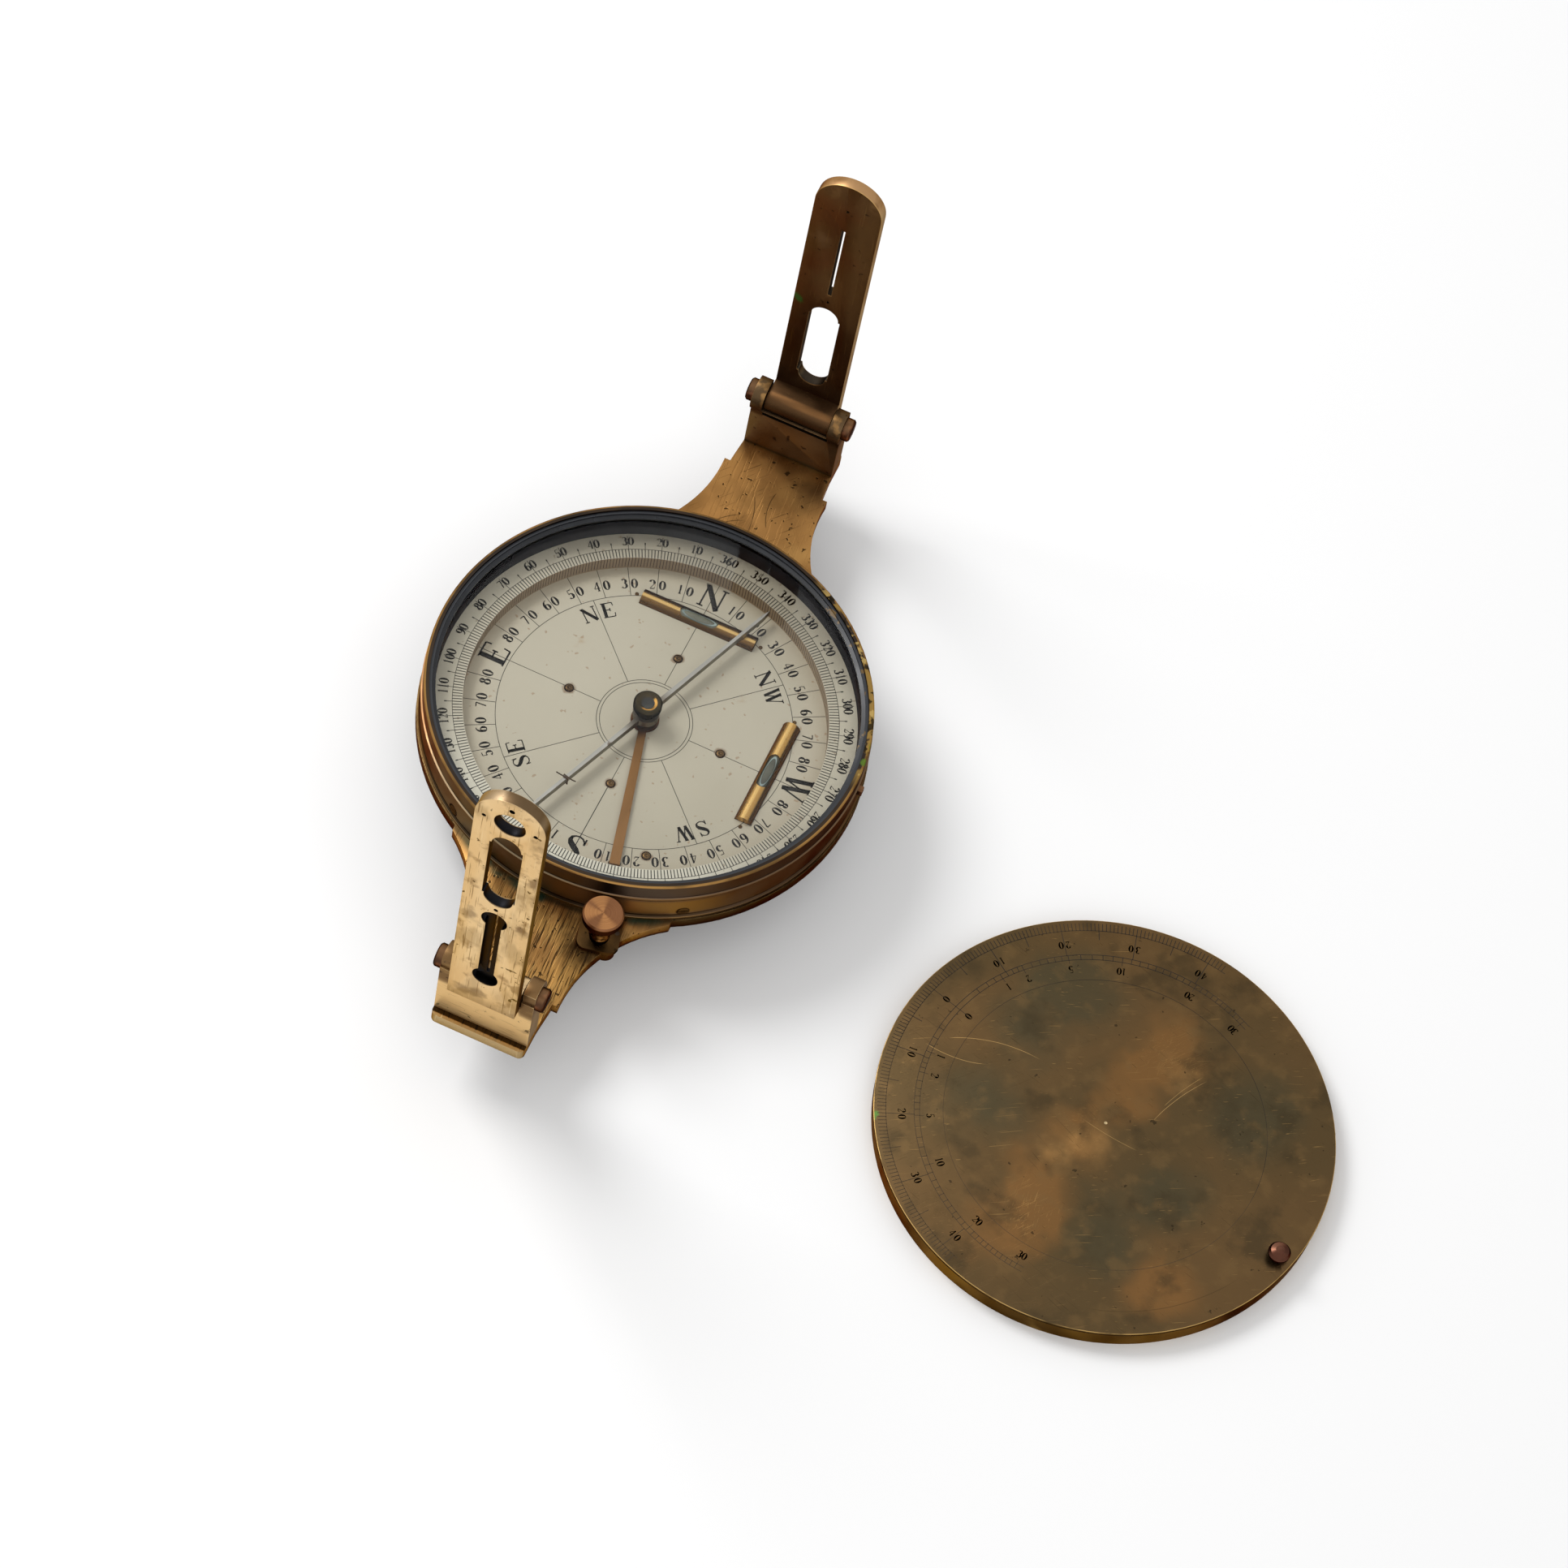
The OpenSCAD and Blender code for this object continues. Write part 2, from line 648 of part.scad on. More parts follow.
// Pin that the lever rocks on, lying in a notch across the groove
module lifter_pivot_pin() {
  len = 2 * groove_w - 0.2;
  color("slategray") around(lifter_angle) translate([fulcrum_r, len / 2, lever_pin_z]) rotate([90, 0, 0])
    cylinder(r = lever_pin_r, h = len, $fn = 24);
}

// Small plate that bridges the groove outside the wall and carries the lifter screw
module lifter_bridge() {
  in_r = rim_r + ridge_out + 0.4;
  len = knob_r + bridge_end - in_r;
  corner = 3;
  color("saddlebrown") around(lifter_angle) translate([0, 0, floor_z]) difference() {
    linear_extrude(bridge_t) {
      translate([in_r, -bridge_w / 2]) square([len - corner, bridge_w]);
      translate([in_r, -bridge_w / 2 + corner]) square([len, bridge_w - 2 * corner]);
      for (s = [-1, 1]) translate([in_r + len - corner, s * (bridge_w / 2 - corner)])
        circle(r = corner, $fn = 32);
    }
    translate([knob_r, 0, -1]) cylinder(r = lifter_screw_d / 2 + running_gap, h = bridge_t + 2, $fn = 32);
    translate([knob_r + bridge_screw_at[0], bridge_screw_at[1], -1])
      cylinder(r = bridge_screw_r, h = bridge_t + 2, $fn = 24);
  }
}

// Small screw that holds the bridge
module bridge_screw() {
  screw_x = knob_r + bridge_screw_at[0];
  color("slategray") around(lifter_angle) translate([screw_x, bridge_screw_at[1], floor_z])
    cylinder(r = bridge_screw_r, h = bridge_t - 0.1, $fn = 24);
}

// Steel screw that presses the lever's tail down
module lifter_screw() {
  tip_z = lever_low_z + lever_t + 0.05;
  stem_top = floor_z + knob_h - 1;
  stem_r = lifter_screw_d / 2 - 0.6;
  color("slategray") around(lifter_angle) translate([knob_r, 0, 0]) {
    translate([0, 0, tip_z]) cylinder(r = lifter_screw_d / 2, h = floor_z + bridge_t + 1 - tip_z, $fn = 32);
    translate([0, 0, floor_z + bridge_t + 1])
      cylinder(r = stem_r, h = stem_top - floor_z - bridge_t - 1, $fn = 32);
  }
}

// Copper-coloured knob on the lifter screw
module lifter_knob() {
  base = bridge_t + 1;
  head_r = knob_d / 2;
  neck_r = 3.4;
  foot_r = 2.3;
  foot_h = 2;
  swell_h = 4.2;
  bore_r = lifter_screw_d / 2 - 0.6 + running_gap;
  head_z = knob_h - knob_head_h;
  color("chocolate") around(lifter_angle) translate([knob_r, 0, floor_z]) rotate_extrude($fn = 72) polygon([
    [bore_r, base], [foot_r, base], [neck_r - 0.3, base + foot_h], [neck_r, base + swell_h],
    [neck_r - 0.2, head_z - 1], [neck_r + 1.3, head_z], [head_r - 0.2, head_z + 1], [head_r, head_z + 1.5],
    [head_r, knob_h - 0.6], [head_r - 0.5, knob_h], [0, knob_h], [0, knob_h - 0.9], [bore_r, knob_h - 0.9]]);
}

// Hinge block with two ears and a cradle for the barrel, open below it on the dial's side
module hinge_block() {
  ear_r = ear_d / 2;
  ear_y = block_end_y - ear_setback;
  gap = sight_w / 2 + slide_gap;
  wall_top = hinge_z + 0.2;
  difference() {
    union() {
      translate([-block_w / 2, block_y, floor_z]) cube([block_w, block_t, wall_top - floor_z]);
      intersection() {
        x_rod(ear_r, -block_w / 2, block_w / 2, hinge_y, hinge_z);
        translate([-block_w, block_y - ear_r, hinge_z - ear_r])
          cube([2 * block_w, ear_y - block_y + ear_r, 2 * ear_r]);
      }
    }
    x_rod(barrel_d / 2 + slide_gap, -gap, gap, hinge_y, hinge_z);
    translate([-gap, hinge_y - ear_d, hinge_z - 2]) cube([2 * gap, ear_d + block_t, ear_d]);
    translate([-gap, block_y - 1, hinge_z - lip_drop]) cube([2 * gap, hinge_y - block_y + 1, lip_drop]);
    x_rod(pin_d / 2, -block_w, block_w, hinge_y, hinge_z);
    for (s = [-1, 1]) translate([s * block_screw_x, block_y + block_t / 2, floor_z - 1])
      cylinder(r = block_screw_r, h = block_screw_z - floor_z + 1.5, $fn = 32);
  }
}

module north_hinge_block() {
  color("saddlebrown") hinge_block();
}

module south_hinge_block() {
  color("darkkhaki") around(180) hinge_block();
}

// Screws from below the arms into the hinge blocks
module block_screws() {
  head_t = plate_t / 2 - 0.2;
  color("slategray") both_arms() for (s = [-1, 1]) translate([s * block_screw_x, block_y + block_t / 2, 0]) {
    translate([0, 0, plate_z + 0.2]) cylinder(r = block_screw_head_r - 0.1, h = head_t, $fn = 32);
    translate([0, 0, plate_z + 0.2]) cylinder(r = block_screw_r, h = block_screw_z - plate_z - 0.2, $fn = 32);
  }
}

// Hinge pin with a head outside each ear
module hinge_pin() {
  head_x = block_w / 2;
  x_rod(pin_d / 2, -head_x, head_x, hinge_y, hinge_z);
  for (s = [0, 1]) mirror([s, 0, 0]) translate([head_x, hinge_y, hinge_z]) rotate([0, 90, 0])
    rotate_extrude($fn = 48) polygon([[0, 0], [pin_head_d / 2, 0], [pin_head_d / 2, pin_head_t - 0.5],
      [pin_head_d / 2 - 0.5, pin_head_t], [0, pin_head_t]]);
}

module north_hinge_pin() {
  color("saddlebrown") hinge_pin();
}

module south_hinge_pin() {
  color("saddlebrown") around(180) hinge_pin();
}

// Outline of a sight's wide window: straight sides and narrower round ends
module window_outline(len) {
  shoulder = 0.6;
  end_r = window_w / 2 - shoulder;
  square([window_w, len - 2 * end_r], center = true);
  for (s = [-1, 1]) translate([0, s * (len / 2 - end_r)]) circle(r = end_r, $fn = 48);
}

// Cuts its 2D children through a sight plate at a height above the hinge axis
module through_sight(height) {
  translate([0, block_end_y - 1, hinge_z + height]) rotate([90, 0, 0]) translate([0, 0, -sight_t - 3])
    linear_extrude(sight_t + 4) children();
}

// Plate with a round top, barrel and pin bore; the children are its openings
module sight_body() {
  arch_r = sight_w / 2;
  face_y = block_end_y + stop_gap;
  difference() {
    union() {
      translate([-arch_r, face_y, hinge_z - sight_foot])
        cube([sight_w, sight_t, sight_h + sight_foot - arch_r]);
      translate([0, face_y + sight_t, hinge_z + sight_h - arch_r]) rotate([90, 0, 0])
        cylinder(r = arch_r, h = sight_t, $fn = 96);
      x_rod(barrel_d / 2, -arch_r, arch_r, hinge_y, hinge_z);
      translate([-arch_r, hinge_y, hinge_z]) cube([sight_w, face_y - hinge_y + 0.5, barrel_d / 2]);
    }
    x_rod(pin_d / 2 + running_gap, -sight_w, sight_w, hinge_y, hinge_z);
    children();
  }
}

// North sight: slit above, window below, fine hole at the top
module north_sight() {
  hair_r = 0.5;
  between = (lower_mid + upper_mid + north_window_len / 2 - slit_len / 2) / 2;
  color("saddlebrown") sight_body() {
    through_sight(lower_mid) window_outline(north_window_len);
    through_sight(upper_mid) square([north_slit_w, slit_len], center = true);
    through_sight(peep_mid) circle(r = hair_r, $fn = 24);
    through_sight(between) circle(r = hair_r, $fn = 24);
  }
}

// South sight: window above, slit in a sunk slot below, round hole at the top
module south_sight() {
  slot_w = 5;
  slot_depth = 2.2;
  flare_r = 4.1;
  slot_face = block_end_y + stop_gap + sight_t - slot_depth;
  hair_r = 0.7;
  side_x = 8.1;
  between = (lower_mid + upper_mid + slit_len / 2 + flare_r - south_window_len / 2) / 2;
  color("burlywood") around(180) sight_body() {
    through_sight(upper_mid) window_outline(south_window_len);
    through_sight(lower_mid) square([south_slit_w, slit_len], center = true);
    translate([-slot_w / 2, slot_face, hinge_z + lower_mid - slit_len / 2])
      cube([slot_w, slot_depth + 1, slit_len]);
    for (s = [-1, 1]) translate([0, slot_face, hinge_z + lower_mid + s * slit_len / 2]) rotate([-90, 0, 0])
      cylinder(r = flare_r, h = slot_depth + 1, $fn = 48);
    through_sight(peep_mid) circle(d = peep_d, $fn = 48);
    through_sight(peep_mid + peep_d / 2 + 2.8) circle(r = hair_r + 0.2, $fn = 24);
    through_sight(between) circle(r = hair_r, $fn = 24);
    for (s = [-1, 1]) through_sight(peep_mid) translate([s * side_x, 0]) circle(r = hair_r, $fn = 24);
  }
}

// Socket for the staff, with a flange under the main plate
module staff_socket() {
  color("darkgoldenrod") difference() {
    union() {
      cylinder(d = socket_d, h = socket_h, $fn = 96);
      translate([0, 0, socket_h - flange_t]) cylinder(d = flange_d, h = flange_t, $fn = 96);
    }
    translate([0, 0, -1]) cylinder(d = socket_bore_d, h = socket_bore_len + 1, $fn = 96);
    x_rod(clamp_d / 2 + running_gap, -socket_d, 0, 0, clamp_z);
    for (a = [45:90:315]) around(a) translate([socket_screw_pc_r, 0, socket_h - flange_t - 1])
      cylinder(r = socket_screw_r, h = flange_t + 2, $fn = 32);
  }
}

// Screws that hold the flange to the main plate
module socket_screws() {
  head_z = socket_h - flange_t - socket_screw_head_t;
  color("slategray") for (a = [45:90:315]) around(a) translate([socket_screw_pc_r, 0, head_z]) {
    cylinder(r = socket_screw_head_r, h = socket_screw_head_t, $fn = 32);
    cylinder(r = socket_screw_r, h = plate_z + plate_t - 1.4 - head_z, $fn = 32);
  }
}

// Clamp screw through the side of the socket
module clamp_screw() {
  tip_x = socket_bore_d / 2 + 0.3;
  neck_x = socket_d / 2 + clamp_out - clamp_travel;
  color("slategray") {
    x_rod(clamp_d / 2, -neck_x, -tip_x, 0, clamp_z);
    x_rod(clamp_neck_r, -neck_x - clamp_knob_t + 1, -neck_x, 0, clamp_z);
  }
}

// Knob on the clamp screw
module clamp_knob() {
  neck_x = socket_d / 2 + clamp_out - clamp_travel;
  bore_r = clamp_neck_r + running_gap;
  knob_r = clamp_knob_d / 2;
  color("goldenrod") translate([-neck_x, 0, clamp_z]) rotate([0, -90, 0]) rotate_extrude($fn = 72) polygon([
    [bore_r, 0.05], [clamp_d / 2 + 0.6, 0.05], [clamp_d / 2 + 1, 1.2], [knob_r - 0.4, 1.6], [knob_r, 2],
    [knob_r, clamp_knob_t - 0.5], [knob_r - 0.5, clamp_knob_t], [0, clamp_knob_t],
    [0, clamp_knob_t - 0.9], [bore_r, clamp_knob_t - 0.9]]);
}

// Top of the cover, lying beside the box with its engraved face up
module cover_plate() {
  knob_at = cover_r - cover_knob_inset;
  color("olive") translate([cover_x, cover_y, 0]) difference() {
    translate([0, 0, skirt_h]) cylinder(r = cover_r, h = cover_t, $fn = 240);
    around(cover_knob_angle) translate([knob_at, 0, skirt_h - 1])
      cylinder(r = cover_knob_stem_r, h = cover_t + 2, $fn = 32);
  }
}

// Skirt of the cover, which fits over the rim down to the ridge
module cover_skirt() {
  color("darkkhaki") translate([cover_x, cover_y, 0]) difference() {
    cylinder(r = cover_r - 0.3, h = skirt_h, $fn = 240);
    translate([0, 0, -1]) cylinder(r = skirt_in_r, h = skirt_h + 2, $fn = 240);
  }
}

// Small copper-coloured knob near the edge of the cover
module cover_knob() {
  knob_at = cover_r - cover_knob_inset;
  head_r = cover_knob_d / 2;
  color("sienna") translate([cover_x, cover_y, 0]) around(cover_knob_angle) translate([knob_at, 0, 0])
    rotate_extrude($fn = 48) polygon([
      [0, skirt_h], [cover_knob_stem_r, skirt_h], [cover_knob_stem_r, cover_top_z],
      [head_r * 0.7, cover_top_z], [head_r * 0.62, cover_top_z + 0.23 * cover_knob_h],
      [head_r, cover_top_z + 0.46 * cover_knob_h], [head_r, cover_top_z + 0.63 * cover_knob_h],
      [head_r * 0.8, cover_top_z + 0.86 * cover_knob_h], [head_r * 0.4, cover_top_z + 0.98 * cover_knob_h],
      [0, cover_top_z + cover_knob_h]]);
}

main_plate();
box_wall();
wall_pin();
wall_screws();
glass();
glass_ring();
dial_plate();
degree_ring();
dial_screws();
pivot_post();
pivot_pin();
north_level_tube();
north_level_vial();
west_level_tube();
west_level_vial();
level_pins();
needle_bar();
needle_cap();
cap_jewel();
balance_coil();
lift_collar();
lifter_lever();
lifter_pivot_pin();
lifter_bridge();
bridge_screw();
lifter_screw();
lifter_knob();
north_hinge_block();
south_hinge_block();
block_screws();
north_hinge_pin();
south_hinge_pin();
north_sight();
south_sight();
staff_socket();
socket_screws();
clamp_screw();
clamp_knob();
cover_plate();
cover_skirt();
cover_knob();
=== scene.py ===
import json
import math

import bmesh
import bpy
from mathutils import Matrix, Vector

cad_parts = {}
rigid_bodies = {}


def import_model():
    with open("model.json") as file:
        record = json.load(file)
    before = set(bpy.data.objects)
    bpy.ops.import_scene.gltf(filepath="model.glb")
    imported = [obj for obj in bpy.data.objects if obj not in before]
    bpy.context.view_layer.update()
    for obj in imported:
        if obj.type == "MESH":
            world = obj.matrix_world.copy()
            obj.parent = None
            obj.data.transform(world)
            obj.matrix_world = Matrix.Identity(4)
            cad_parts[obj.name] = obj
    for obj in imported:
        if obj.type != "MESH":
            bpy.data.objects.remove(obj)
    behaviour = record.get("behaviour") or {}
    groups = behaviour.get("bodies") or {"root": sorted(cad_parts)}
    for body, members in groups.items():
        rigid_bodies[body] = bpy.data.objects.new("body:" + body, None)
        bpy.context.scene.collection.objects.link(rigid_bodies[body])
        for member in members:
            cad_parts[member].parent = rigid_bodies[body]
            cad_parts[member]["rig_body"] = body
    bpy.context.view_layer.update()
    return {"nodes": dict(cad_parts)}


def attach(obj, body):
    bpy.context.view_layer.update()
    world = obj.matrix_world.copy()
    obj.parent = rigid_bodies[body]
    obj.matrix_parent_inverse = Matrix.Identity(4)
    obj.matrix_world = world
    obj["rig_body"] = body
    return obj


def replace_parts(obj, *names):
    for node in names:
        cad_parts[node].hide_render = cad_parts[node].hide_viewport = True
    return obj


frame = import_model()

nodes = frame["nodes"]
mm = 0.001
dialTurn = math.radians(-0.58)  # the engraving sits a little clockwise of the arms
up, north, west, east = (0, 0, 1), (0, 1, 0), (1, 0, 0), (-1, 0, 0)
level = (1, 1, 0)  # leaves height out of a distance


# Colours and node helpers

def tone(red, green, blue):
    linear = [c / 255 / 12.92 if c <= 10 else ((c / 255 + 0.055) / 1.055) ** 2.4 for c in (red, green, blue)]
    return (*linear, 1.0)


def feed(tree, socket, value):
    # Links another node's output to an input, or sets the input's own value
    if isinstance(value, bpy.types.NodeSocket):
        tree.links.new(value, socket)
    else:
        socket.default_value = value


def addNode(tree, kind, inputs=(), **values):
    # values name a setting or an input, and inputs are fed in their order
    node = tree.nodes.new(kind)
    for name, value in values.items():
        if name in node.bl_rna.properties:
            setattr(node, name, value)
        else:
            feed(tree, node.inputs[name.replace("_", " ")], value)
    for socket, value in zip(node.inputs, inputs):
        feed(tree, socket, value)
    return node


def joinValues(tree, operation, first, second, clamp=False):
    return addNode(tree, "ShaderNodeMath", (first, second), operation=operation, use_clamp=clamp).outputs[0]


def addUp(tree, values, clamp=True):
    total = values[0]
    for value in values[1:]:
        total = joinValues(tree, "ADD", total, value, clamp)
    return total


def remap(tree, value, low, high, outLow=0.0, outHigh=1.0):
    return addNode(tree, "ShaderNodeMapRange", (value, low, high, outLow, outHigh), clamp=True,
                   interpolation_type="SMOOTHSTEP").outputs[0]


def placed(tree, scale=(1, 1, 1), shift=(0, 0, 0)):
    here = tree.nodes.new("ShaderNodeTexCoord").outputs["Object"]
    return addNode(tree, "ShaderNodeMapping", Vector=here, Location=shift, Scale=scale).outputs[0]


def seenFrom(tree, at, scale=(1, 1, 1)):
    return placed(tree, scale, [-a * mm * s for a, s in zip(at, scale)])


def distanceFrom(tree, at, scale=(1, 1, 1)):
    away = addNode(tree, "ShaderNodeVectorMath", [seenFrom(tree, at, scale)], operation="LENGTH")
    return away.outputs["Value"]


def dotWith(tree, vector, direction):
    return addNode(tree, "ShaderNodeVectorMath", (vector, direction), operation="DOT_PRODUCT").outputs["Value"]


def noiseOf(tree, scale, detail=3.0, stretch=(1, 1, 1), shift=(0, 0, 0)):
    return addNode(tree, "ShaderNodeTexNoise", Scale=scale, Detail=detail,
                   Vector=placed(tree, stretch, shift)).outputs["Fac"]


def roughen(tree, distance, ragged, grain):
    # Makes an edge uneven by up to about half of ragged, in millimetres
    if not ragged:
        return distance
    wobble = joinValues(tree, "SUBTRACT", noiseOf(tree, grain), 0.5)
    return joinValues(tree, "ADD", distance, joinValues(tree, "MULTIPLY", wobble, ragged * mm))


# Masks: each gives a value from 0 to 1 over the surface; places and lengths are in millimetres

def asMask(build):
    # Keeps a mask's settings until a material asks for its nodes
    return lambda *values, **settings: lambda tree: build(tree, *values, **settings)


@asMask
def patches(tree, scale, low, high, **more):
    return remap(tree, noiseOf(tree, scale, **more), low, high)


@asMask
def scratches(tree, wide, long, low, high, turn=(0, 0, 0), bend=0.0):
    # Long thin marks along the turned Y axis
    place = placed(tree)
    if bend:
        wave = addNode(tree, "ShaderNodeTexNoise", Scale=14.0, Detail=1.0, Vector=place).outputs["Color"]
        place = addNode(tree, "ShaderNodeVectorMath", (wave, (bend * mm,) * 3, place),
                        operation="MULTIPLY_ADD").outputs[0]
    drawn = addNode(tree, "ShaderNodeMapping", vector_type="TEXTURE", Vector=place,
                    Rotation=[math.radians(a) for a in turn], Scale=(wide * mm, long * mm, wide * mm))
    streaks = addNode(tree, "ShaderNodeTexNoise", Scale=1.0, Detail=1.5, Vector=drawn.outputs[0])
    return remap(tree, streaks.outputs["Fac"], low, high)


@asMask
def byRadius(tree, start, end, centre=(0, 0), ragged=0.0, grain=60):
    # Rises from one radius to the other round an upright axis
    distance = roughen(tree, distanceFrom(tree, (*centre, 0), level), ragged, grain)
    return remap(tree, distance, start * mm, end * mm)


@asMask
def spot(tree, at, radius, soft, ragged=0.8, grain=320):
    distance = roughen(tree, distanceFrom(tree, at), ragged * 8, grain)
    return remap(tree, distance, (radius + soft / 2) * mm, (radius - soft / 2) * mm)


@asMask
def spots(tree, places, radius, soft, **more):
    return addUp(tree, [spot(at, radius, soft, **more)(tree) for at in places])


@asMask
def arcMark(tree, centre, radius, width, near, reach):
    # A thin curved scratch: part of a circle, kept near one point
    start = byRadius(radius - width, radius, centre, width * 3)(tree)
    end = byRadius(radius, radius + width, centre, width * 3)(tree)
    ring = joinValues(tree, "SUBTRACT", start, end, clamp=True)
    return joinValues(tree, "MULTIPLY", ring, spot(near, reach, reach * 0.4)(tree))


@asMask
def turning(tree, centre, scale):
    # Fine circular marks round an upright axis, as a lathe leaves
    rings = addNode(tree, "ShaderNodeTexNoise", noise_dimensions="1D", Scale=scale, Detail=2.0,
                    W=distanceFrom(tree, (*centre, 0), level))
    return remap(tree, rings.outputs["Fac"], 0.45, 0.6)


@asMask
def sector(tree, angle, low, high, centre=(0, 0)):
    # The part of a round piece that lies in one direction from its centre
    aim = (math.cos(math.radians(angle)), math.sin(math.radians(angle)), 0)
    away = seenFrom(tree, (*centre, 0), level)
    outwards = addNode(tree, "ShaderNodeVectorMath", [away], operation="NORMALIZE")
    return remap(tree, dotWith(tree, outwards.outputs[0], aim), low, high)


@asMask
def along(tree, axis, start, end, ragged=0.0, grain=60):
    # Rises from start to end along one axis
    split = addNode(tree, "ShaderNodeSeparateXYZ", [placed(tree)])
    return remap(tree, roughen(tree, split.outputs[axis], ragged, grain), start * mm, end * mm)


@asMask
def band(tree, axis, start, end, soft=0.2):
    rise, fall = along(axis, start - soft, start)(tree), along(axis, end, end + soft)(tree)
    return joinValues(tree, "SUBTRACT", rise, fall, clamp=True)


@asMask
def facing(tree, direction, low, high):
    normal = tree.nodes.new("ShaderNodeNewGeometry").outputs["Normal"]
    return remap(tree, dotWith(tree, normal, Vector(direction).normalized()), low, high)


@asMask
def inside(tree, low, high):
    # Walls of a sight's openings and the floor of its sunk slot, but not the sight's rounded top: where painted
    # shade goes
    areas = [joinValues(tree, "MULTIPLY", band("X", -half, half, 0.1)(tree), band("Z", bottom, top, 0.1)(tree))
             for half, bottom, top in ((8.9, 52, 153.3), (2.0, 153.4, 157.3))]
    return joinValues(tree, "MULTIPLY", band("Y", low, high, 0.08)(tree), addUp(tree, areas))


@asMask
def worn(tree, low=0.35, high=0.6):
    # The eased edges, with gaps
    edges = addNode(tree, "ShaderNodeAttribute", attribute_name="worn").outputs["Fac"]
    return joinValues(tree, "MULTIPLY", edges, remap(tree, noiseOf(tree, 90, shift=(0.3, 0.9, 0.2)), low, high))


def newMaterial(name):
    material = bpy.data.materials.new(name)
    material.use_nodes = True
    return material


def agedSurface(name, look):
    # look: colour, metal, rough (low, high), layers of (mask, colour, amount, masks that limit it),
    # bumps of (mask, amount), and relief, the depth of the bumps in millimetres
    look = {"metal": 1.0, "relief": 0.02, "coatRoughness": 0.12, "bumps": [], **look}
    material = newMaterial(name)
    tree = material.node_tree
    shader = tree.nodes["Principled BSDF"].inputs
    colour = tone(*look["colour"])
    shader["Metallic"].default_value = look["metal"]
    if look["metal"] > 0.5:
        shader["Specular Tint"].default_value = colour  # keeps old metal warm at its edges
    if "specular" in look:
        shader["Specular IOR Level"].default_value = look["specular"]
    if "coat" in look:
        shader["Coat Weight"].default_value = look["coat"]
        shader["Coat Roughness"].default_value = look["coatRoughness"]
    for mask, paint, amount, *limits in look["layers"]:
        share = mask(tree)
        for limit in limits:
            share = joinValues(tree, "MULTIPLY", share, limit(tree))
        mix = addNode(tree, "ShaderNodeMix", data_type="RGBA",
                      Factor=joinValues(tree, "MULTIPLY", share, amount))
        feed(tree, mix.inputs[6], colour)
        feed(tree, mix.inputs[7], tone(*paint))
        colour = mix.outputs[2]
    feed(tree, shader["Base Color"], colour)
    smears = noiseOf(tree, 70, 4.0, shift=(0.7, 0.1, 0.5))
    feed(tree, shader["Roughness"], remap(tree, smears, 0.3, 0.7, *look["rough"]))
    heights = [joinValues(tree, "MULTIPLY", mask(tree), amount) for mask, amount in look["bumps"]]
    if heights:
        bump = addNode(tree, "ShaderNodeBump", Strength=1.0, Distance=look["relief"] * mm,
                       Height=addUp(tree, heights, clamp=False))
        feed(tree, shader["Normal"], bump.outputs["Normal"])
    return material


# Mesh helpers

def addObject(name, data):
    thing = bpy.data.objects.new(name, data)
    bpy.context.scene.collection.objects.link(thing)
    return thing


def meshFrom(name, bm):
    mesh = bpy.data.meshes.new(name)
    bm.to_mesh(mesh)
    bm.free()
    return mesh


def asPiece(name, bm, body, finishName, smoothAngle=None):
    mesh = meshFrom(name, bm)
    piece = addObject(name, mesh)
    mesh.materials.append(finish[finishName])
    if smoothAngle:
        for face in mesh.polygons:
            face.use_smooth = True
        mesh.set_sharp_from_angle(angle=math.radians(smoothAngle))
    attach(piece, body)
    return piece


easing = {"angle": 38, "shortest": 0.45, "segments": 2, "smooth": 32}  # which edges are eased, and how


def bevelledCopy(name, nodeName, finishName, slot, width):
    # The CAD solid again, with its edges eased and marked as worn
    bm = bmesh.new()
    bm.from_mesh(nodes[nodeName].data)
    bmesh.ops.remove_doubles(bm, verts=bm.verts, dist=2e-6)
    bmesh.ops.recalc_face_normals(bm, faces=bm.faces)
    bmesh.ops.dissolve_limit(bm, angle_limit=math.radians(1.0), verts=bm.verts, edges=bm.edges)
    wornFaces = bm.faces.layers.float.new("worn")
    angle, shortest = math.radians(easing["angle"]), easing["shortest"] * mm
    edges = [e for e in bm.edges if e.is_manifold and e.is_convex and e.calc_face_angle(0) > angle
             and e.calc_length() > shortest]
    eased = bmesh.ops.bevel(bm, geom=edges, offset=width * mm, offset_type="OFFSET", profile=0.5,
                            segments=easing["segments"], affect="EDGES", clamp_overlap=True, material=-1)
    for face in eased["faces"]:
        face[wornFaces] = 1.0
    piece = asPiece(name, bm, nodes[nodeName]["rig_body"], finishName, easing["smooth"])
    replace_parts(piece, nodeName)


def turnedPart(bm, outline, centre, steps):
    # Spins an outline of (radius, height) points about a vertical axis through centre
    axis = Vector((*centre, 0)) * mm
    verts = [bm.verts.new(axis + Vector((r, 0, z)) * mm) for r, z in outline]
    edges = [bm.edges.new(pair) for pair in zip(verts, verts[1:])]
    bmesh.ops.spin(bm, geom=verts + edges, cent=axis, axis=up, dvec=(0, 0, 0),
                   angle=math.tau, steps=steps, use_merge=True, use_duplicate=False)
    bmesh.ops.remove_doubles(bm, verts=bm.verts, dist=1e-6)
    bmesh.ops.recalc_face_normals(bm, faces=bm.faces)


# Camera, light and floor
print("camera and light")

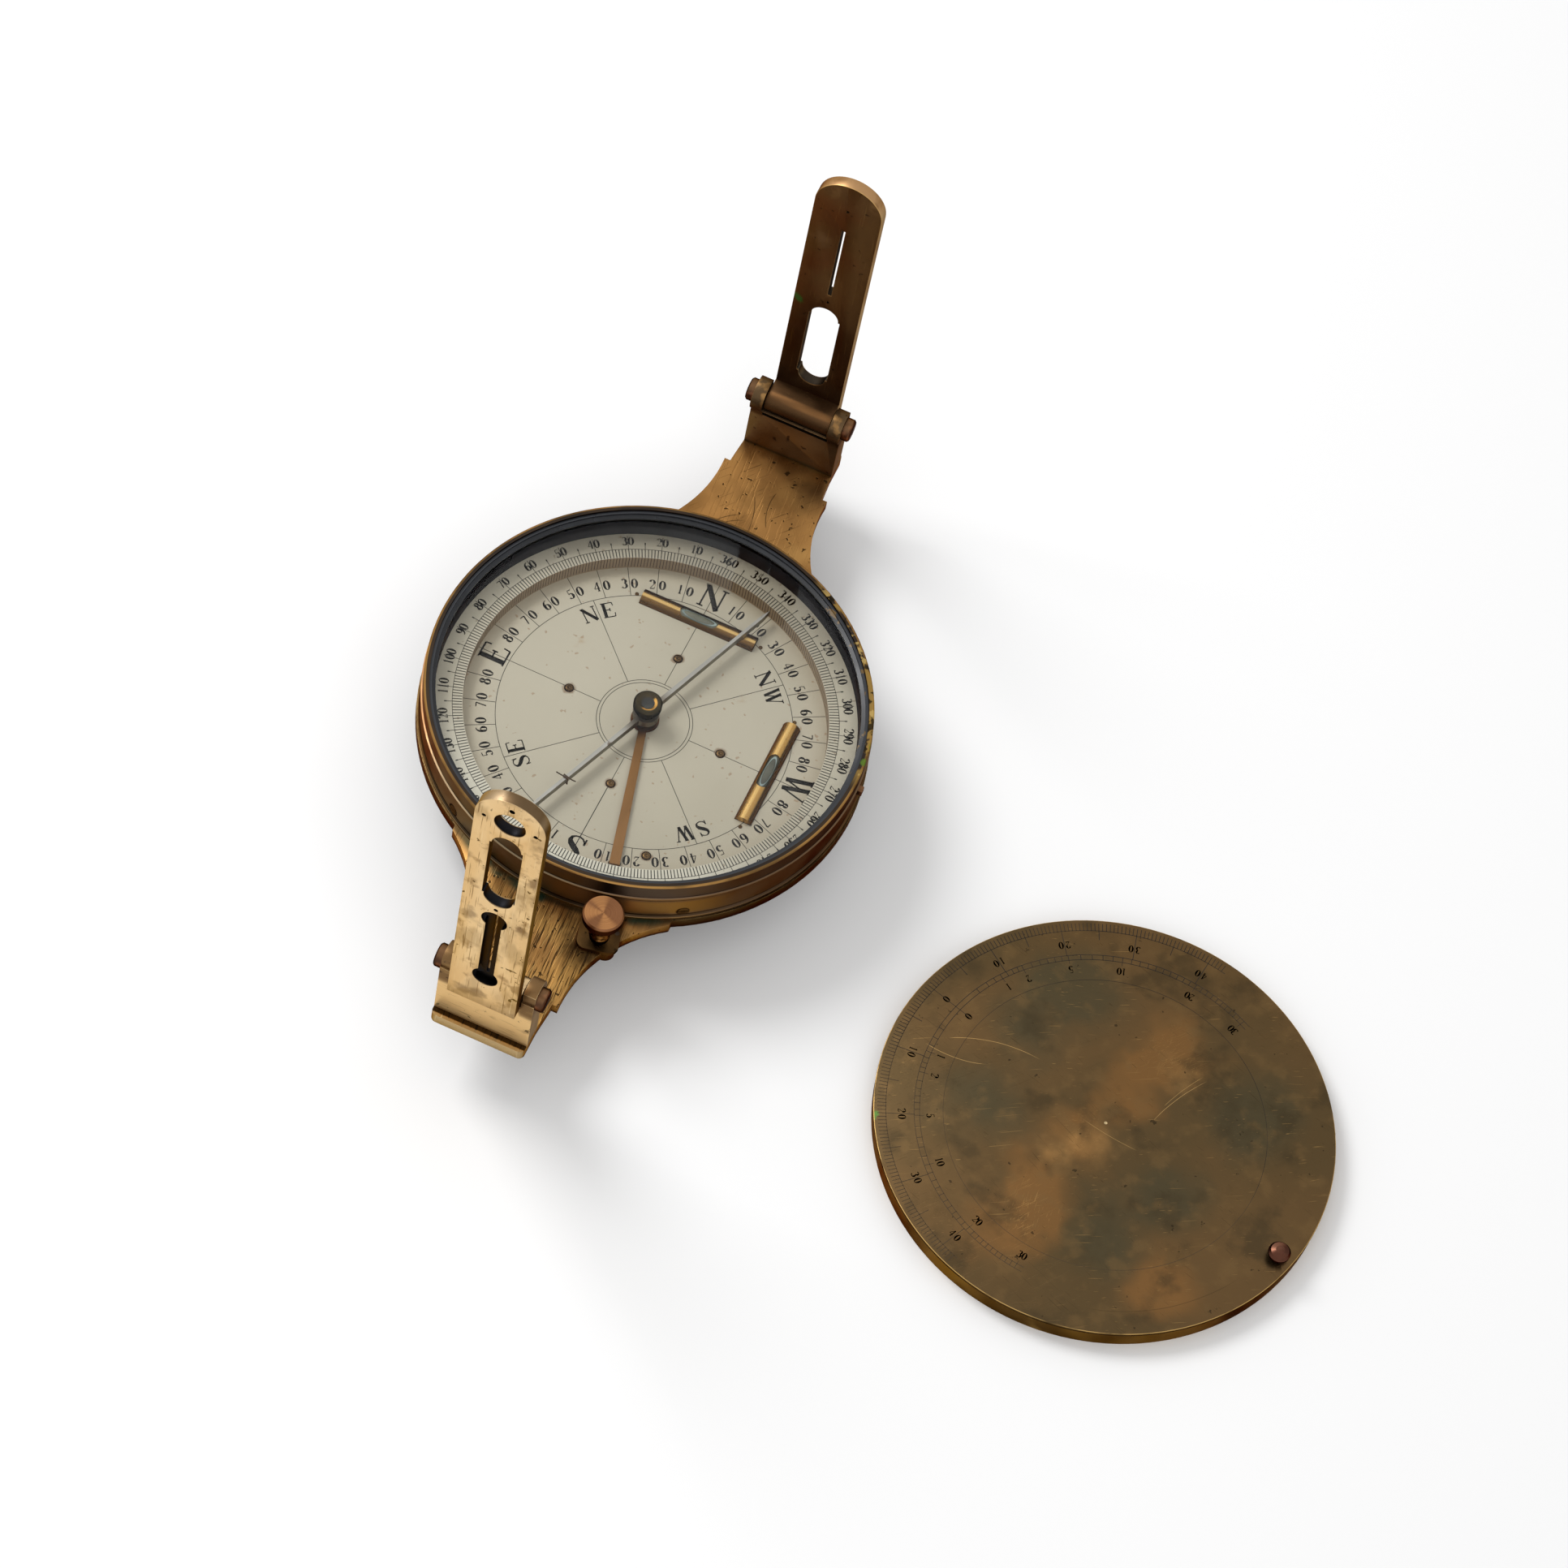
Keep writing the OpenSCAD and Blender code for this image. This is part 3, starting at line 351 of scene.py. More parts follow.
camera = {"place": (0.24400, -0.93829, 1.53579), "right": (0.91096, 0.39284, 0.12579),
          "up": (-0.39762, 0.75517, 0.52114), "lens": 132.25, "sensor": 36.0, "near": 0.05, "far": 50.0}
studio = {"keyPlace": (-0.95, 0.25, 1.15), "keySize": 0.7, "keyPower": 12.0,
          "fillPlace": (0.6, -1.2, 1.2), "fillSize": 1.4, "fillPower": 4.0,
          "aim": (0.08, -0.02, 0.05), "around": 0.7, "floorSize": 6.0, "floorColour": (246, 246, 246),
          "floorRoughness": 0.9, "floorSpecular": 0.1}


def addCamera():
    data = bpy.data.cameras.new("photoView")
    data.lens, data.sensor_width = camera["lens"], camera["sensor"]
    data.clip_start, data.clip_end = camera["near"], camera["far"]
    view = addObject("photoView", data)
    right = Vector(camera["right"]).normalized()
    top = Vector(camera["up"])
    top = (top - right * top.dot(right)).normalized()
    turn = Matrix((right, top, right.cross(top))).transposed().to_4x4()
    view.matrix_world = Matrix.Translation(camera["place"]) @ turn
    bpy.context.scene.camera = view


def addLamp(name):
    data = bpy.data.lights.new(name + "Lamp", "AREA")
    data.shape, data.size, data.energy = "DISK", studio[name + "Size"], studio[name + "Power"]
    lamp = addObject(name + "Lamp", data)
    lamp.location = studio[name + "Place"]
    aim = Vector(studio[name + "Place"]) - Vector(studio["aim"])
    lamp.rotation_euler = aim.to_track_quat("Z", "Y").to_euler()


def addWorld():
    # The air is white to the camera, a reflection or clear glass, and a little darker as a light
    world = bpy.data.worlds.new("studioAir")
    bpy.context.scene.world = world
    world.use_nodes = True
    tree = world.node_tree
    rays = tree.nodes.new("ShaderNodeLightPath").outputs
    seen = addUp(tree, [rays["Is %s Ray" % kind] for kind in ("Camera", "Glossy", "Transmission")])
    air = tree.nodes["Background"].inputs
    air["Color"].default_value = (1, 1, 1, 1)
    feed(tree, air["Strength"], remap(tree, seen, 0, 1, studio["around"], 1.0))


def addFloor():
    bm = bmesh.new()
    bmesh.ops.create_grid(bm, x_segments=1, y_segments=1, size=studio["floorSize"])
    floor = addObject("floor", meshFrom("floor", bm))
    material = newMaterial("paleFloor")
    shader = material.node_tree.nodes["Principled BSDF"].inputs
    shader["Base Color"].default_value = tone(*studio["floorColour"])
    shader["Roughness"].default_value = studio["floorRoughness"]
    shader["Specular IOR Level"].default_value = studio["floorSpecular"]
    floor.data.materials.append(material)


addCamera()
addLamp("key")
addLamp("fill")
addWorld()
addFloor()
bpy.context.scene.view_settings.view_transform = "Standard"


# Finishes
print("finishes")


def grain(scale, height, **more):
    # A fine unevenness over the whole piece
    return [(patches(scale, 0.3, 0.7, **more), height)]


looks = {}
pits = (38, 26, 14)

southArm = along("Y", -66, -78)
looks["armBrass"] = dict(colour=(162, 119, 68), rough=(0.3, 0.5), relief=0.06, layers=[
    (patches(22, 0.47, 0.66, detail=4.0), (114, 80, 44), 0.8),
    (patches(30, 0.38, 0.58, shift=(0.2, 0.7, 0)), (196, 152, 84), 0.65, southArm),
    (patches(45, 0.55, 0.7, shift=(0.4, 0.2, 0.1)), (180, 138, 80), 0.6),
    (scratches(0.34, 9, 0.54, 0.6, turn=(0, 0, 4)), (54, 38, 21), 0.88, southArm),
    (scratches(0.4, 10, 0.6, 0.66, turn=(0, 0, -6)), (190, 152, 92), 0.6, southArm),
    (patches(30, 0.36, 0.56, detail=5.0), (84, 60, 36), 0.85, along("Y", 94, 108, ragged=6)),
    *[(arcMark(centre, radius, 0.26, near, 7), (58, 41, 23), 0.85) for centre, radius, near in (
        ((24, 96), 22, (2, 92, 26)), ((-34, 80), 34, (-2, 88, 26)),
        ((3, 70), 16, (-10, 82, 26)), ((5, 69), 20, (-11, 81, 26)))],
    (scratches(0.4, 12, 0.66, 0.71, turn=(0, 0, -38)), (84, 58, 30), 0.6, along("Y", 62, 70)),
    # painted shade on the arm behind the south sight, where it shows through the slit
    (spot((-6, -90, 26), 6, 12, ragged=4.0, grain=90), (74, 54, 30), 0.8),
    (patches(640, 0.68, 0.72, detail=1.5), pits, 0.85),
    (patches(240, 0.72, 0.75, detail=2.0), pits, 0.8),
    (byRadius(73.4, 71.2, ragged=2.0), (44, 42, 30), 0.8),
    (patches(90, 0.42, 0.58), (34, 62, 50), 0.9, byRadius(75.4, 72.4, ragged=3.0), sector(-88, 0.84, 0.96)),
    (spot((19.6, -78.6, 26), 9.5, 7), (58, 40, 24), 0.8),
    (along("Z", 23.6, 22.4), (62, 44, 26), 0.9),
    # painted shade on the arm's top in the crease at the foot of the south block
    (band("Y", -122.7, -121.2, soft=0.3), (30, 24, 16), 0.92, facing(up, 0.8, 0.95)),
    (along("Y", -122.8, -123.2), (186, 164, 124), 0.85),
    (worn(), (206, 168, 104), 0.8),
], bumps=[(patches(640, 0.66, 0.72, detail=1.5), -0.6),
          (scratches(0.8, 16, 0.55, 0.62, turn=(0, 0, 4)), -0.5), *grain(120, 0.3)])

flaked = sector(32, 0.82, 0.9)  # where the rim's lacquer has come off
wallScrewPlaces = [(70.2 * math.cos(math.radians(a)), 70.2 * math.sin(math.radians(a)), 29.7)
                   for a in (56.4, 123.6, -56.4, -123.6)]
looks["wallBrass"] = dict(colour=(142, 110, 76), rough=(0.3, 0.48), layers=[
    (patches(18, 0.4, 0.65, stretch=(1, 1, 3)), (118, 94, 72), 0.8),
    (band("Z", 38.2, 43.2, soft=0.5), (92, 81, 71), 0.95),
    (patches(26, 0.5, 0.66), (108, 88, 70), 0.6, band("Z", 38.4, 43.0, soft=0.5)),
    (band("Z", 37.4, 37.8, soft=0.15), (128, 94, 52), 0.55),
    (sector(196, 0.62, 0.97), (132, 96, 64), 0.75),
    (scratches(0.6, 34, 0.56, 0.66, turn=(0, 0, 20)), (170, 130, 86), 0.7, sector(200, 0.8, 0.96)),
    # painted shade: a dark line along the bead round the wall
    (band("Z", 36.2, 36.9, soft=0.3), (38, 27, 17), 0.9),
    (band("Z", 29.4, 35.4, soft=1.2), (112, 80, 44), 0.4),
    (band("Z", 29.4, 34.8, soft=1.0), (160, 118, 60), 0.6, sector(-58, 0.96, 0.99)),
    (sector(-112, 0.8, 0.97), (118, 106, 84), 0.7),
    (band("Z", 27.2, 28.0, soft=0.5), (34, 25, 16), 0.85),
    (band("Z", 26.1, 26.8, soft=0.1), (150, 116, 66), 0.8),
    (sector(-14, 0.7, 0.9), (86, 68, 52), 0.7, along("Z", 43.4, 43.2)),
    (spots(wallScrewPlaces, 2.1, 0.7, ragged=0.2), (36, 28, 20), 0.92),
    (along("Z", 43.55, 43.75), (146, 110, 62), 1.0),
    (patches(60, 0.45, 0.62), (84, 64, 38), 0.75, along("Z", 43.5, 43.8)),
    (byRadius(69.4, 69.2, ragged=0.5), (38, 37, 38), 0.9),
    (byRadius(66.8, 66.6), (62, 66, 76), 0.95),
    (patches(170, 0.46, 0.53, shift=(0.5, 0.1, 0)), (150, 120, 64), 0.9, flaked, along("Z", 43.3, 43.6),
     byRadius(68.2, 68.5)),
    (patches(210, 0.52, 0.57, shift=(0.2, 0.1, 0)), (34, 30, 22), 0.9, flaked, along("Z", 43.3, 43.6)),
    (patches(260, 0.6, 0.64, shift=(0.5, 0.6, 0)), (186, 158, 96), 0.75, flaked, along("Z", 43.3, 43.6)),
    (spots(((68.9, 8, 44), (69.3, 14, 44)), 0.8, 1.2), (90, 118, 46), 0.85),
], bumps=grain(120, 0.3, stretch=(1, 1, 0.3)))

looks["blackenedRing"] = dict(
    colour=(22, 24, 28), metal=0.0, rough=(0.24, 0.36), specular=0.35, relief=0.005, layers=[
    (patches(60, 0.45, 0.7), (38, 41, 47), 0.7),
    (byRadius(67.25, 67.45), (52, 54, 58), 0.75),
    (patches(210, 0.62, 0.65), (120, 92, 44), 0.7, flaked),
], bumps=grain(160, 0.4))

looks["silveredDial"] = dict(colour=(197, 190, 172), metal=0.15, rough=(0.42, 0.55), relief=0.012, layers=[
    (patches(14, 0.4, 0.65), (187, 180, 161), 0.8),
    (byRadius(44, 58, ragged=6), (186, 174, 151), 0.5),
    (patches(520, 0.72, 0.76, detail=1.0), (160, 128, 98), 0.6),
    (spots(((25.9, 0, 27.7), (-25.9, 0, 27.7), (0, 25.9, 27.7), (0, -25.9, 27.7), (20.4, -44.5, 27.7)),
           1.9, 0.9, ragged=0.3), (128, 96, 64), 0.75),
    (spots(((-6, -36, 27.7), (24, 21, 27.7), (-30, 17, 27.7), (9, -52, 27.7)), 1.0, 2.2), (176, 150, 118), 0.5),
], bumps=grain(700, 0.5, stretch=(1, 0.2, 1)))

looks["silveredDegrees"] = dict(colour=(204, 197, 178), metal=0.15, rough=(0.36, 0.5), relief=0.012, layers=[
    (patches(20, 0.4, 0.65), (186, 178, 159), 0.8),
    # painted light and shade: the south half of the ring brighter and the north half darker, as the rim shades
    # it
    (along("Y", -20, -52), (232, 228, 212), 0.85),
    (along("Y", 24, 58), (168, 160, 142), 0.8),
    (facing(up, 0.6, 0.3), (150, 124, 96), 0.85),
    (patches(420, 0.7, 0.75, detail=1.0), (140, 116, 88), 0.5),
], bumps=grain(700, 0.5))

looks["northSightBronze"] = dict(colour=(100, 72, 43), rough=(0.4, 0.56), relief=0.04, layers=[
    (patches(16, 0.42, 0.62, stretch=(1, 1, 0.5)), (84, 60, 37), 0.8),
    (patches(34, 0.52, 0.68, shift=(0.1, 0.6, 0.2)), (98, 60, 36), 0.6),
    (along("Z", 104, 74, ragged=12), (66, 47, 31), 0.75),
    (spot((-6.5, 121.2, 131), 2.4, 5.5), (120, 92, 66), 0.55),
    (scratches(0.4, 14, 0.66, 0.7, turn=(90, 0, 14)), (112, 84, 50), 0.5),
    (patches(420, 0.66, 0.7), pits, 0.7),
    (along("Z", 55.5, 52.5), (84, 60, 38), 0.85),
    (patches(60, 0.45, 0.6, stretch=(0.3, 1, 1)), (134, 94, 56), 0.85, facing((0, -0.45, 0.9), 0.93, 0.99)),
    (facing(west, 0.6, 0.9), (196, 170, 132), 0.8),
    (facing(up, 0.15, 0.6), (176, 138, 96), 0.9, along("Z", 145, 150)),
    (patches(90, 0.5, 0.62), (126, 92, 58), 0.7, along("Z", 150, 154)),
    (spot((-9.6, 121.2, 98), 1.5, 1.8), (66, 104, 52), 0.8),
    (worn(0.3, 0.5), (150, 112, 66), 0.4),
    (worn(0.3, 0.5), (204, 164, 104), 0.8, along("Z", 144, 152)),
    # painted shade on the walls of the openings and the floor of the slot
    (inside(121.6, 124.7), (54, 50, 44), 0.85),
], bumps=[*grain(150, 0.35), (scratches(0.4, 14, 0.66, 0.7, turn=(90, 0, 14)), -0.4)])

looks["southSightBrass"] = dict(colour=(224, 192, 144), rough=(0.3, 0.46), relief=0.035, layers=[
    (patches(26, 0.46, 0.66), (232, 203, 156), 0.7),
    (patches(46, 0.54, 0.7, stretch=(1.6, 1, 0.7), detail=5.0), (140, 116, 88), 0.55),
    (patches(150, 0.55, 0.66, shift=(0.3, 0, 0.2), detail=5.0), (136, 108, 80), 0.65),
    (patches(110, 0.5, 0.64, stretch=(1, 1, 0.5)), (176, 150, 112), 0.6),
    (along("Z", 53, 46, ragged=14), (170, 148, 120), 0.6),
    (spots(((-11, -125, 124), (-9.5, -125, 92), (10, -125, 122), (8.5, -125, 97), (9.5, -125, 56),
            (-4, -125, 52)), 1.2, 5.5, ragged=3.5, grain=150), (112, 92, 76), 0.6),
    (scratches(0.5, 16, 0.64, 0.68, turn=(90, 0, 20)), (122, 96, 66), 0.7),
    (scratches(0.4, 18, 0.66, 0.7, turn=(90, 0, -35)), (232, 208, 164), 0.6),
    (patches(380, 0.67, 0.7), (56, 42, 28), 0.8),
    (facing(west, 0.6, 0.9), (74, 52, 32), 0.92),
    (facing(east, 0.6, 0.9), (84, 60, 36), 0.85),
    (facing(north, 0.5, 0.9), (96, 72, 44), 0.8),
    (facing(up, 0.15, 0.6), (146, 126, 100), 0.85, along("Z", 145, 150)),
    (band("X", -2.0, 8.0, soft=2.5), (86, 66, 44), 0.85, facing(up, 0.2, 0.5)),
    (worn(0.3, 0.5), (212, 182, 136), 0.6),
    # painted shade: the walls of the openings and the floor of the sunk slot, near black
    (inside(-124.7, -121.6), (30, 30, 33), 1.0),
], bumps=[*grain(180, 0.3, stretch=(1, 1, 0.4)), (scratches(0.5, 16, 0.64, 0.68, turn=(90, 0, 20)), -0.5)])

earBand = along("Z", 41, 43, ragged=2)
looks["northBlockBronze"] = dict(colour=(138, 114, 84), rough=(0.36, 0.54), relief=0.06, layers=[
    (patches(28, 0.42, 0.64), (100, 80, 56), 0.85),
    (patches(42, 0.54, 0.68, shift=(0.3, 0.2, 0.8)), (124, 90, 60), 0.5),
    *[(along("X", side * 10.8, side * 11.3), (80, 62, 42), 0.85, earBand) for side in (-1, 1)],
    (patches(170, 0.54, 0.62, detail=5.0), (146, 110, 66), 0.7, along("Z", 47, 50)),
    (patches(420, 0.65, 0.7), pits, 0.7),
    (along("Z", 27.8, 26.2, ragged=3), (60, 78, 62), 0.55),
    (worn(), (150, 112, 66), 0.5),
    # painted shade: the hollow under the hinge barrel, between the ears, painted near black
    (band("Z", 42.85, 46.6, soft=0.1), (14, 12, 10), 0.97, band("X", -11.2, 11.2), along("Y", 119.4, 119.0)),
], bumps=[*grain(150, 0.4), (patches(170, 0.45, 0.62), 1.0)])

looks["southBlockBrass"] = dict(colour=(222, 186, 130), metal=0.6, rough=(0.34, 0.48), relief=0.05, layers=[
    (patches(34, 0.5, 0.66), (202, 166, 112), 0.7),
    (patches(130, 0.57, 0.65, stretch=(0.5, 1, 1), detail=5.0), (150, 120, 82), 0.65),
    (along("Z", 27.6, 26.4, ragged=1), (176, 126, 72), 0.7),
    (along("Z", 42.4, 44.2, ragged=1.5), (104, 78, 46), 0.9),
    (patches(150, 0.52, 0.62, detail=5.0), (206, 168, 104), 0.8, along("Z", 44, 46)),
    (facing(north, 0.4, 0.8), (86, 62, 36), 0.85),
    *[(along("X", side * 10.6, side * 11.6), (112, 84, 54), 0.8, earBand) for side in (-1, 1)],
    *[(facing(side, 0.5, 0.9), (92, 68, 42), 0.85) for side in (west, east)],
    (scratches(0.4, 14, 0.63, 0.68, turn=(0, 0, 90)), (122, 94, 62), 0.6),
    (patches(360, 0.66, 0.7), (56, 42, 28), 0.8),
    (worn(), (230, 200, 148), 0.8),
], bumps=grain(150, 0.35))

looks["pinBronze"] = dict(colour=(84, 58, 42), rough=(0.26, 0.44), relief=0.04, layers=[
    (patches(90, 0.42, 0.62), (50, 37, 29), 0.8),
    (patches(130, 0.54, 0.64, shift=(0.3, 0.1, 0.5)), (142, 92, 64), 0.7),
    (facing(up, 0.5, 0.95), (126, 94, 64), 0.6),
    (worn(), (186, 146, 104), 0.75),
], bumps=grain(200, 0.4))

knobCentre = (19.6, -78.6)
looks["knobCopper"] = dict(colour=(124, 84, 56), rough=(0.26, 0.4), layers=[
    (patches(60, 0.46, 0.64), (104, 66, 42), 0.7),
    # painted highlights: bright wedges on the knob's turned top, as it catches the light
    *[(sector(angle, 0.76, 1.0, centre=knobCentre), (180, 128, 80), 0.7, facing(up, 0.8, 0.95))
      for angle in (128, 306, 203)],
    (turning(knobCentre, 2200), (92, 58, 36), 0.25, facing(up, 0.8, 0.95)),
    # painted shade down the side of the head and darker under it, and painted highlights on the bead of the
    # neck
    (along("Z", 43.75, 43.5), (62, 41, 28), 0.92),
    (along("Z", 41.4, 40.6), (26, 19, 14), 0.9),
    (band("Z", 33.0, 35.4, soft=0.6), (196, 142, 86), 0.85, patches(150, 0.42, 0.55)),
    (worn(), (204, 152, 104), 0.8, along("Z", 42.5, 43.2)),
], bumps=[(turning(knobCentre, 2200), 0.4)])

looks["coverKnobCopper"] = dict(colour=(86, 54, 42), rough=(0.2, 0.34), relief=0.03, layers=[
    (patches(160, 0.46, 0.64), (66, 42, 34), 0.8),
    # painted highlight on the faces turned up towards the upper left
    (facing((-0.4, 0.3, 0.85), 0.8, 0.99), (138, 96, 76), 0.6),
    (along("Z", 8.6, 7.2), (52, 38, 28), 0.9),
], bumps=grain(300, 0.4))

looks["leverCopper"] = dict(colour=(138, 100, 60), rough=(0.36, 0.5), layers=[
    (patches(50, 0.44, 0.64, stretch=(2, 0.5, 2)), (118, 84, 48), 0.8),
    (byRadius(7.5, 4.5), (86, 52, 36), 0.85),
    (patches(380, 0.66, 0.7), (70, 48, 30), 0.7),
], bumps=grain(200, 0.4))

looks["blueSteel"] = dict(colour=(170, 166, 158), rough=(0.34, 0.48), layers=[
    (facing(up, 0.6, 0.9), (172, 170, 165), 0.95),
    (patches(70, 0.5, 0.66), (190, 190, 186), 0.6),
    (patches(190, 0.64, 0.69), (92, 72, 56), 0.85),
    (byRadius(12, 6), (100, 82, 58), 0.6),
], bumps=grain(260, 0.4))

looks["capBrass"] = dict(colour=(84, 72, 44), rough=(0.2, 0.34), layers=[
    (patches(110, 0.42, 0.62), (52, 46, 32), 0.8),
    (along("Z", 36.0, 34.0), (66, 48, 30), 0.8),
    (byRadius(3.6, 3.3), (62, 54, 38), 0.9),
    # painted highlight: a golden crescent on one side of the cap's dish
    (byRadius(3.0, 2.8), (240, 184, 98), 1.0, sector(-24, -0.1, 0.3)),
    (byRadius(3.4, 3.7), (46, 41, 29), 0.85),
], bumps=grain(260, 0.3))

for name, axis, bright, dark in (("levelBrass", "X", (190, 148, 84), (150, 112, 62)),
                                 ("northLevelBrass", "Y", (116, 86, 48), (86, 62, 36))):
    # A polished tube: a painted highlight streak along its top and painted shade on its flanks, across the axis
    looks[name] = dict(colour=bright, rough=(0.2, 0.32), layers=[
        (patches(60, 0.52, 0.68), dark, 0.6),
        (band(axis, 41.3, 41.9, soft=0.5), (236, 198, 128), 0.7),
        (along(axis, 43.1, 44.2), (92, 66, 36), 0.85),
        (along(axis, 40.7, 39.7), (104, 76, 42), 0.8),
        (patches(320, 0.67, 0.7), (84, 60, 34), 0.7),
    ], bumps=grain(260, 0.3))

looks["vialGlass"] = dict(colour=(100, 102, 88), metal=0.0, rough=(0.1, 0.2), specular=0.4, coat=0.3, layers=[
    (patches(90, 0.45, 0.62), (124, 124, 106), 0.7),
    (patches(60, 0.46, 0.62, shift=(0.1, 0.5, 0)), (66, 68, 60), 0.8),
])

looks["bubbleEdge"] = dict(colour=(150, 168, 166), metal=0.0, rough=(0.1, 0.2), specular=0.6,
                           layers=[(patches(160, 0.45, 0.6), (104, 122, 122), 0.7)])

looks["jewelStone"] = dict(colour=(30, 32, 30), metal=0.0, rough=(0.1, 0.2), specular=0.4, coat=0.15, layers=[
    (patches(320, 0.5, 0.62), (52, 55, 51), 0.7),
    (byRadius(0.9, 0.3), (26, 26, 24), 0.8),
])

looks["darkSteel"] = dict(colour=(84, 72, 62), rough=(0.3, 0.46), layers=[
    (patches(160, 0.48, 0.64), (104, 70, 46), 0.75),
    (patches(260, 0.5, 0.66, shift=(0.4, 0.4, 0.4)), (46, 38, 32), 0.7),
    (worn(), (150, 120, 88), 0.7),
], bumps=grain(400, 0.4))

looks["screwSteel"] = dict(colour=(104, 80, 50), rough=(0.3, 0.46), layers=[
    (patches(160, 0.48, 0.64), (72, 54, 36), 0.75),
    (facing(up, 0.95, 0.8), (60, 44, 30), 0.8, byRadius(60, 58)),
    (worn(), (150, 120, 80), 0.7),
], bumps=grain(400, 0.4))

looks["socketBrass"] = dict(colour=(138, 106, 60), rough=(0.28, 0.46), relief=0.03, layers=[
    (patches(24, 0.45, 0.65), (96, 70, 38), 0.8),
    (patches(50, 0.54, 0.68, stretch=(1, 1, 3)), (166, 132, 80), 0.5),
    (patches(420, 0.66, 0.7), pits, 0.7),
    (scratches(0.5, 20, 0.62, 0.68, turn=(90, 0, 0)), (88, 64, 36), 0.6),
    (worn(), (204, 166, 102), 0.8),
], bumps=grain(150, 0.35, stretch=(1, 1, 4)))

looks["bridgeBrass"] = dict(colour=(104, 76, 42), rough=(0.32, 0.5), relief=0.04, layers=[
    (patches(60, 0.44, 0.62), (66, 48, 28), 0.8),
    (patches(420, 0.65, 0.7), pits, 0.7),
    (worn(), (170, 132, 78), 0.7),
], bumps=grain(200, 0.4))

warmSpots = ((196, -20, 7), (178, -65, 7), (172, -81, 7), (167, -97, 7), (217, -98, 7), (186, -44, 7))
warm = spots(((196, -22, 7), (180, -64, 7), (170, -90, 7)), 4, 20, ragged=5.0, grain=42)
looks["coverBrass"] = dict(colour=(98, 76, 49), rough=(0.32, 0.46), relief=0.03, layers=[
    (patches(14, 0.4, 0.62, detail=5.0), (84, 69, 46), 0.8),
    (spots(((148, -33, 7), (221, -31, 7), (208, -69, 7), (147, -66, 7), (160, -14, 7), (196, -92, 7)),
           11, 18, ragged=4.5, grain=34), (74, 67, 49), 0.8),
    (spots(warmSpots, 10, 15, ragged=5.0, grain=42), (126, 90, 52), 0.7),
    (spots(((198, -28, 7), (180, -62, 7), (172, -69, 7)), 1.5, 17, ragged=2.2, grain=150),
     (160, 121, 73), 0.68),
    (patches(70, 0.52, 0.7, shift=(0.6, 0.4, 0), detail=7.0), (64, 54, 38), 0.6),
    (patches(130, 0.5, 0.7, shift=(0.1, 0.4, 0), detail=7.0), (112, 88, 56), 0.4),
    *[(scratches(0.24, long, low, low + 0.05, turn=(0, 0, turn), bend=14), colour, 0.6, *limits)
      for colour, long, low, turn, *limits in (
          ((164, 126, 74), 26, 0.64, -38, warm), ((168, 130, 78), 20, 0.66, 8, warm),
          ((150, 118, 72), 24, 0.705, -60), ((58, 46, 30), 18, 0.7, 72))],
    (arcMark((150, -88), 46, 0.14, (140, -44, 7), 13), (184, 148, 92), 0.8),
    (arcMark((258, -64), 66, 0.12, (198, -36, 7), 10), (190, 154, 98), 0.8),
    (arcMark((262, -62), 70, 0.12, (198, -32, 7), 8), (176, 142, 88), 0.7),
    (arcMark((196, 30), 88, 0.12, (184, -58, 7), 9), (176, 142, 88), 0.7),
    (arcMark((128, -20), 34, 0.14, (131, -53, 7), 9), (186, 150, 94), 0.75),
    (arcMark((181.5, -53.5), 64, 0.2, (222, -104, 7), 22), (70, 56, 36), 0.6),
    (patches(360, 0.71, 0.74), (44, 37, 26), 0.7),
    (spot((116.5, -84, 7.1), 1.3, 1.2), (76, 116, 56), 0.85),
    (spot((181.5, -53.5, 7.1), 0.5, 0.3, ragged=0.05), (196, 174, 132), 0.9),
    (worn(0.3, 0.5), (186, 152, 94), 0.85),
], bumps=[(scratches(0.24, 26, 0.66, 0.71, turn=(0, 0, -38), bend=14), -0.5),
          (spot((181.5, -53.5, 7.1), 0.5, 0.5, ragged=0.05), -3.0), *grain(160, 0.25)])

looks["skirtBrass"] = dict(colour=(136, 108, 66), rough=(0.3, 0.46), relief=0.03, layers=[
    (patches(30, 0.44, 0.62), (86, 68, 42), 0.8),
    (along("Z", 5.3, 5.8), (36, 29, 19), 0.9),
    (patches(60, 0.58, 0.7), (164, 134, 84), 0.5),
], bumps=grain(160, 0.3))

for name, colour, faded, scale, high in (("engravedInk", (24, 23, 22), (46, 43, 38), 260, 0.66),
                                         ("lineInk", (44, 41, 36), (84, 78, 67), 200, 0.68)):
    looks[name] = dict(colour=colour, metal=0.0, rough=(0.45, 0.6), specular=0.3,
                       layers=[(patches(scale, 0.52, high), faded, 0.6)])

looks["coverInk"] = dict(colour=(26, 20, 12), metal=0.3, rough=(0.4, 0.6), specular=0.3, layers=[
    (patches(60, 0.5, 0.62), (62, 48, 30), 0.6),
    (along("Y", -50, -72), (80, 63, 40), 0.6),
])

finish = {name: agedSurface(name, look) for name, look in looks.items()}


thinGlass = {"tint": (0.97, 0.97, 0.96, 1), "roughness": 0.04, "bending": 1.45, "shine": (0.3, 0.45)}


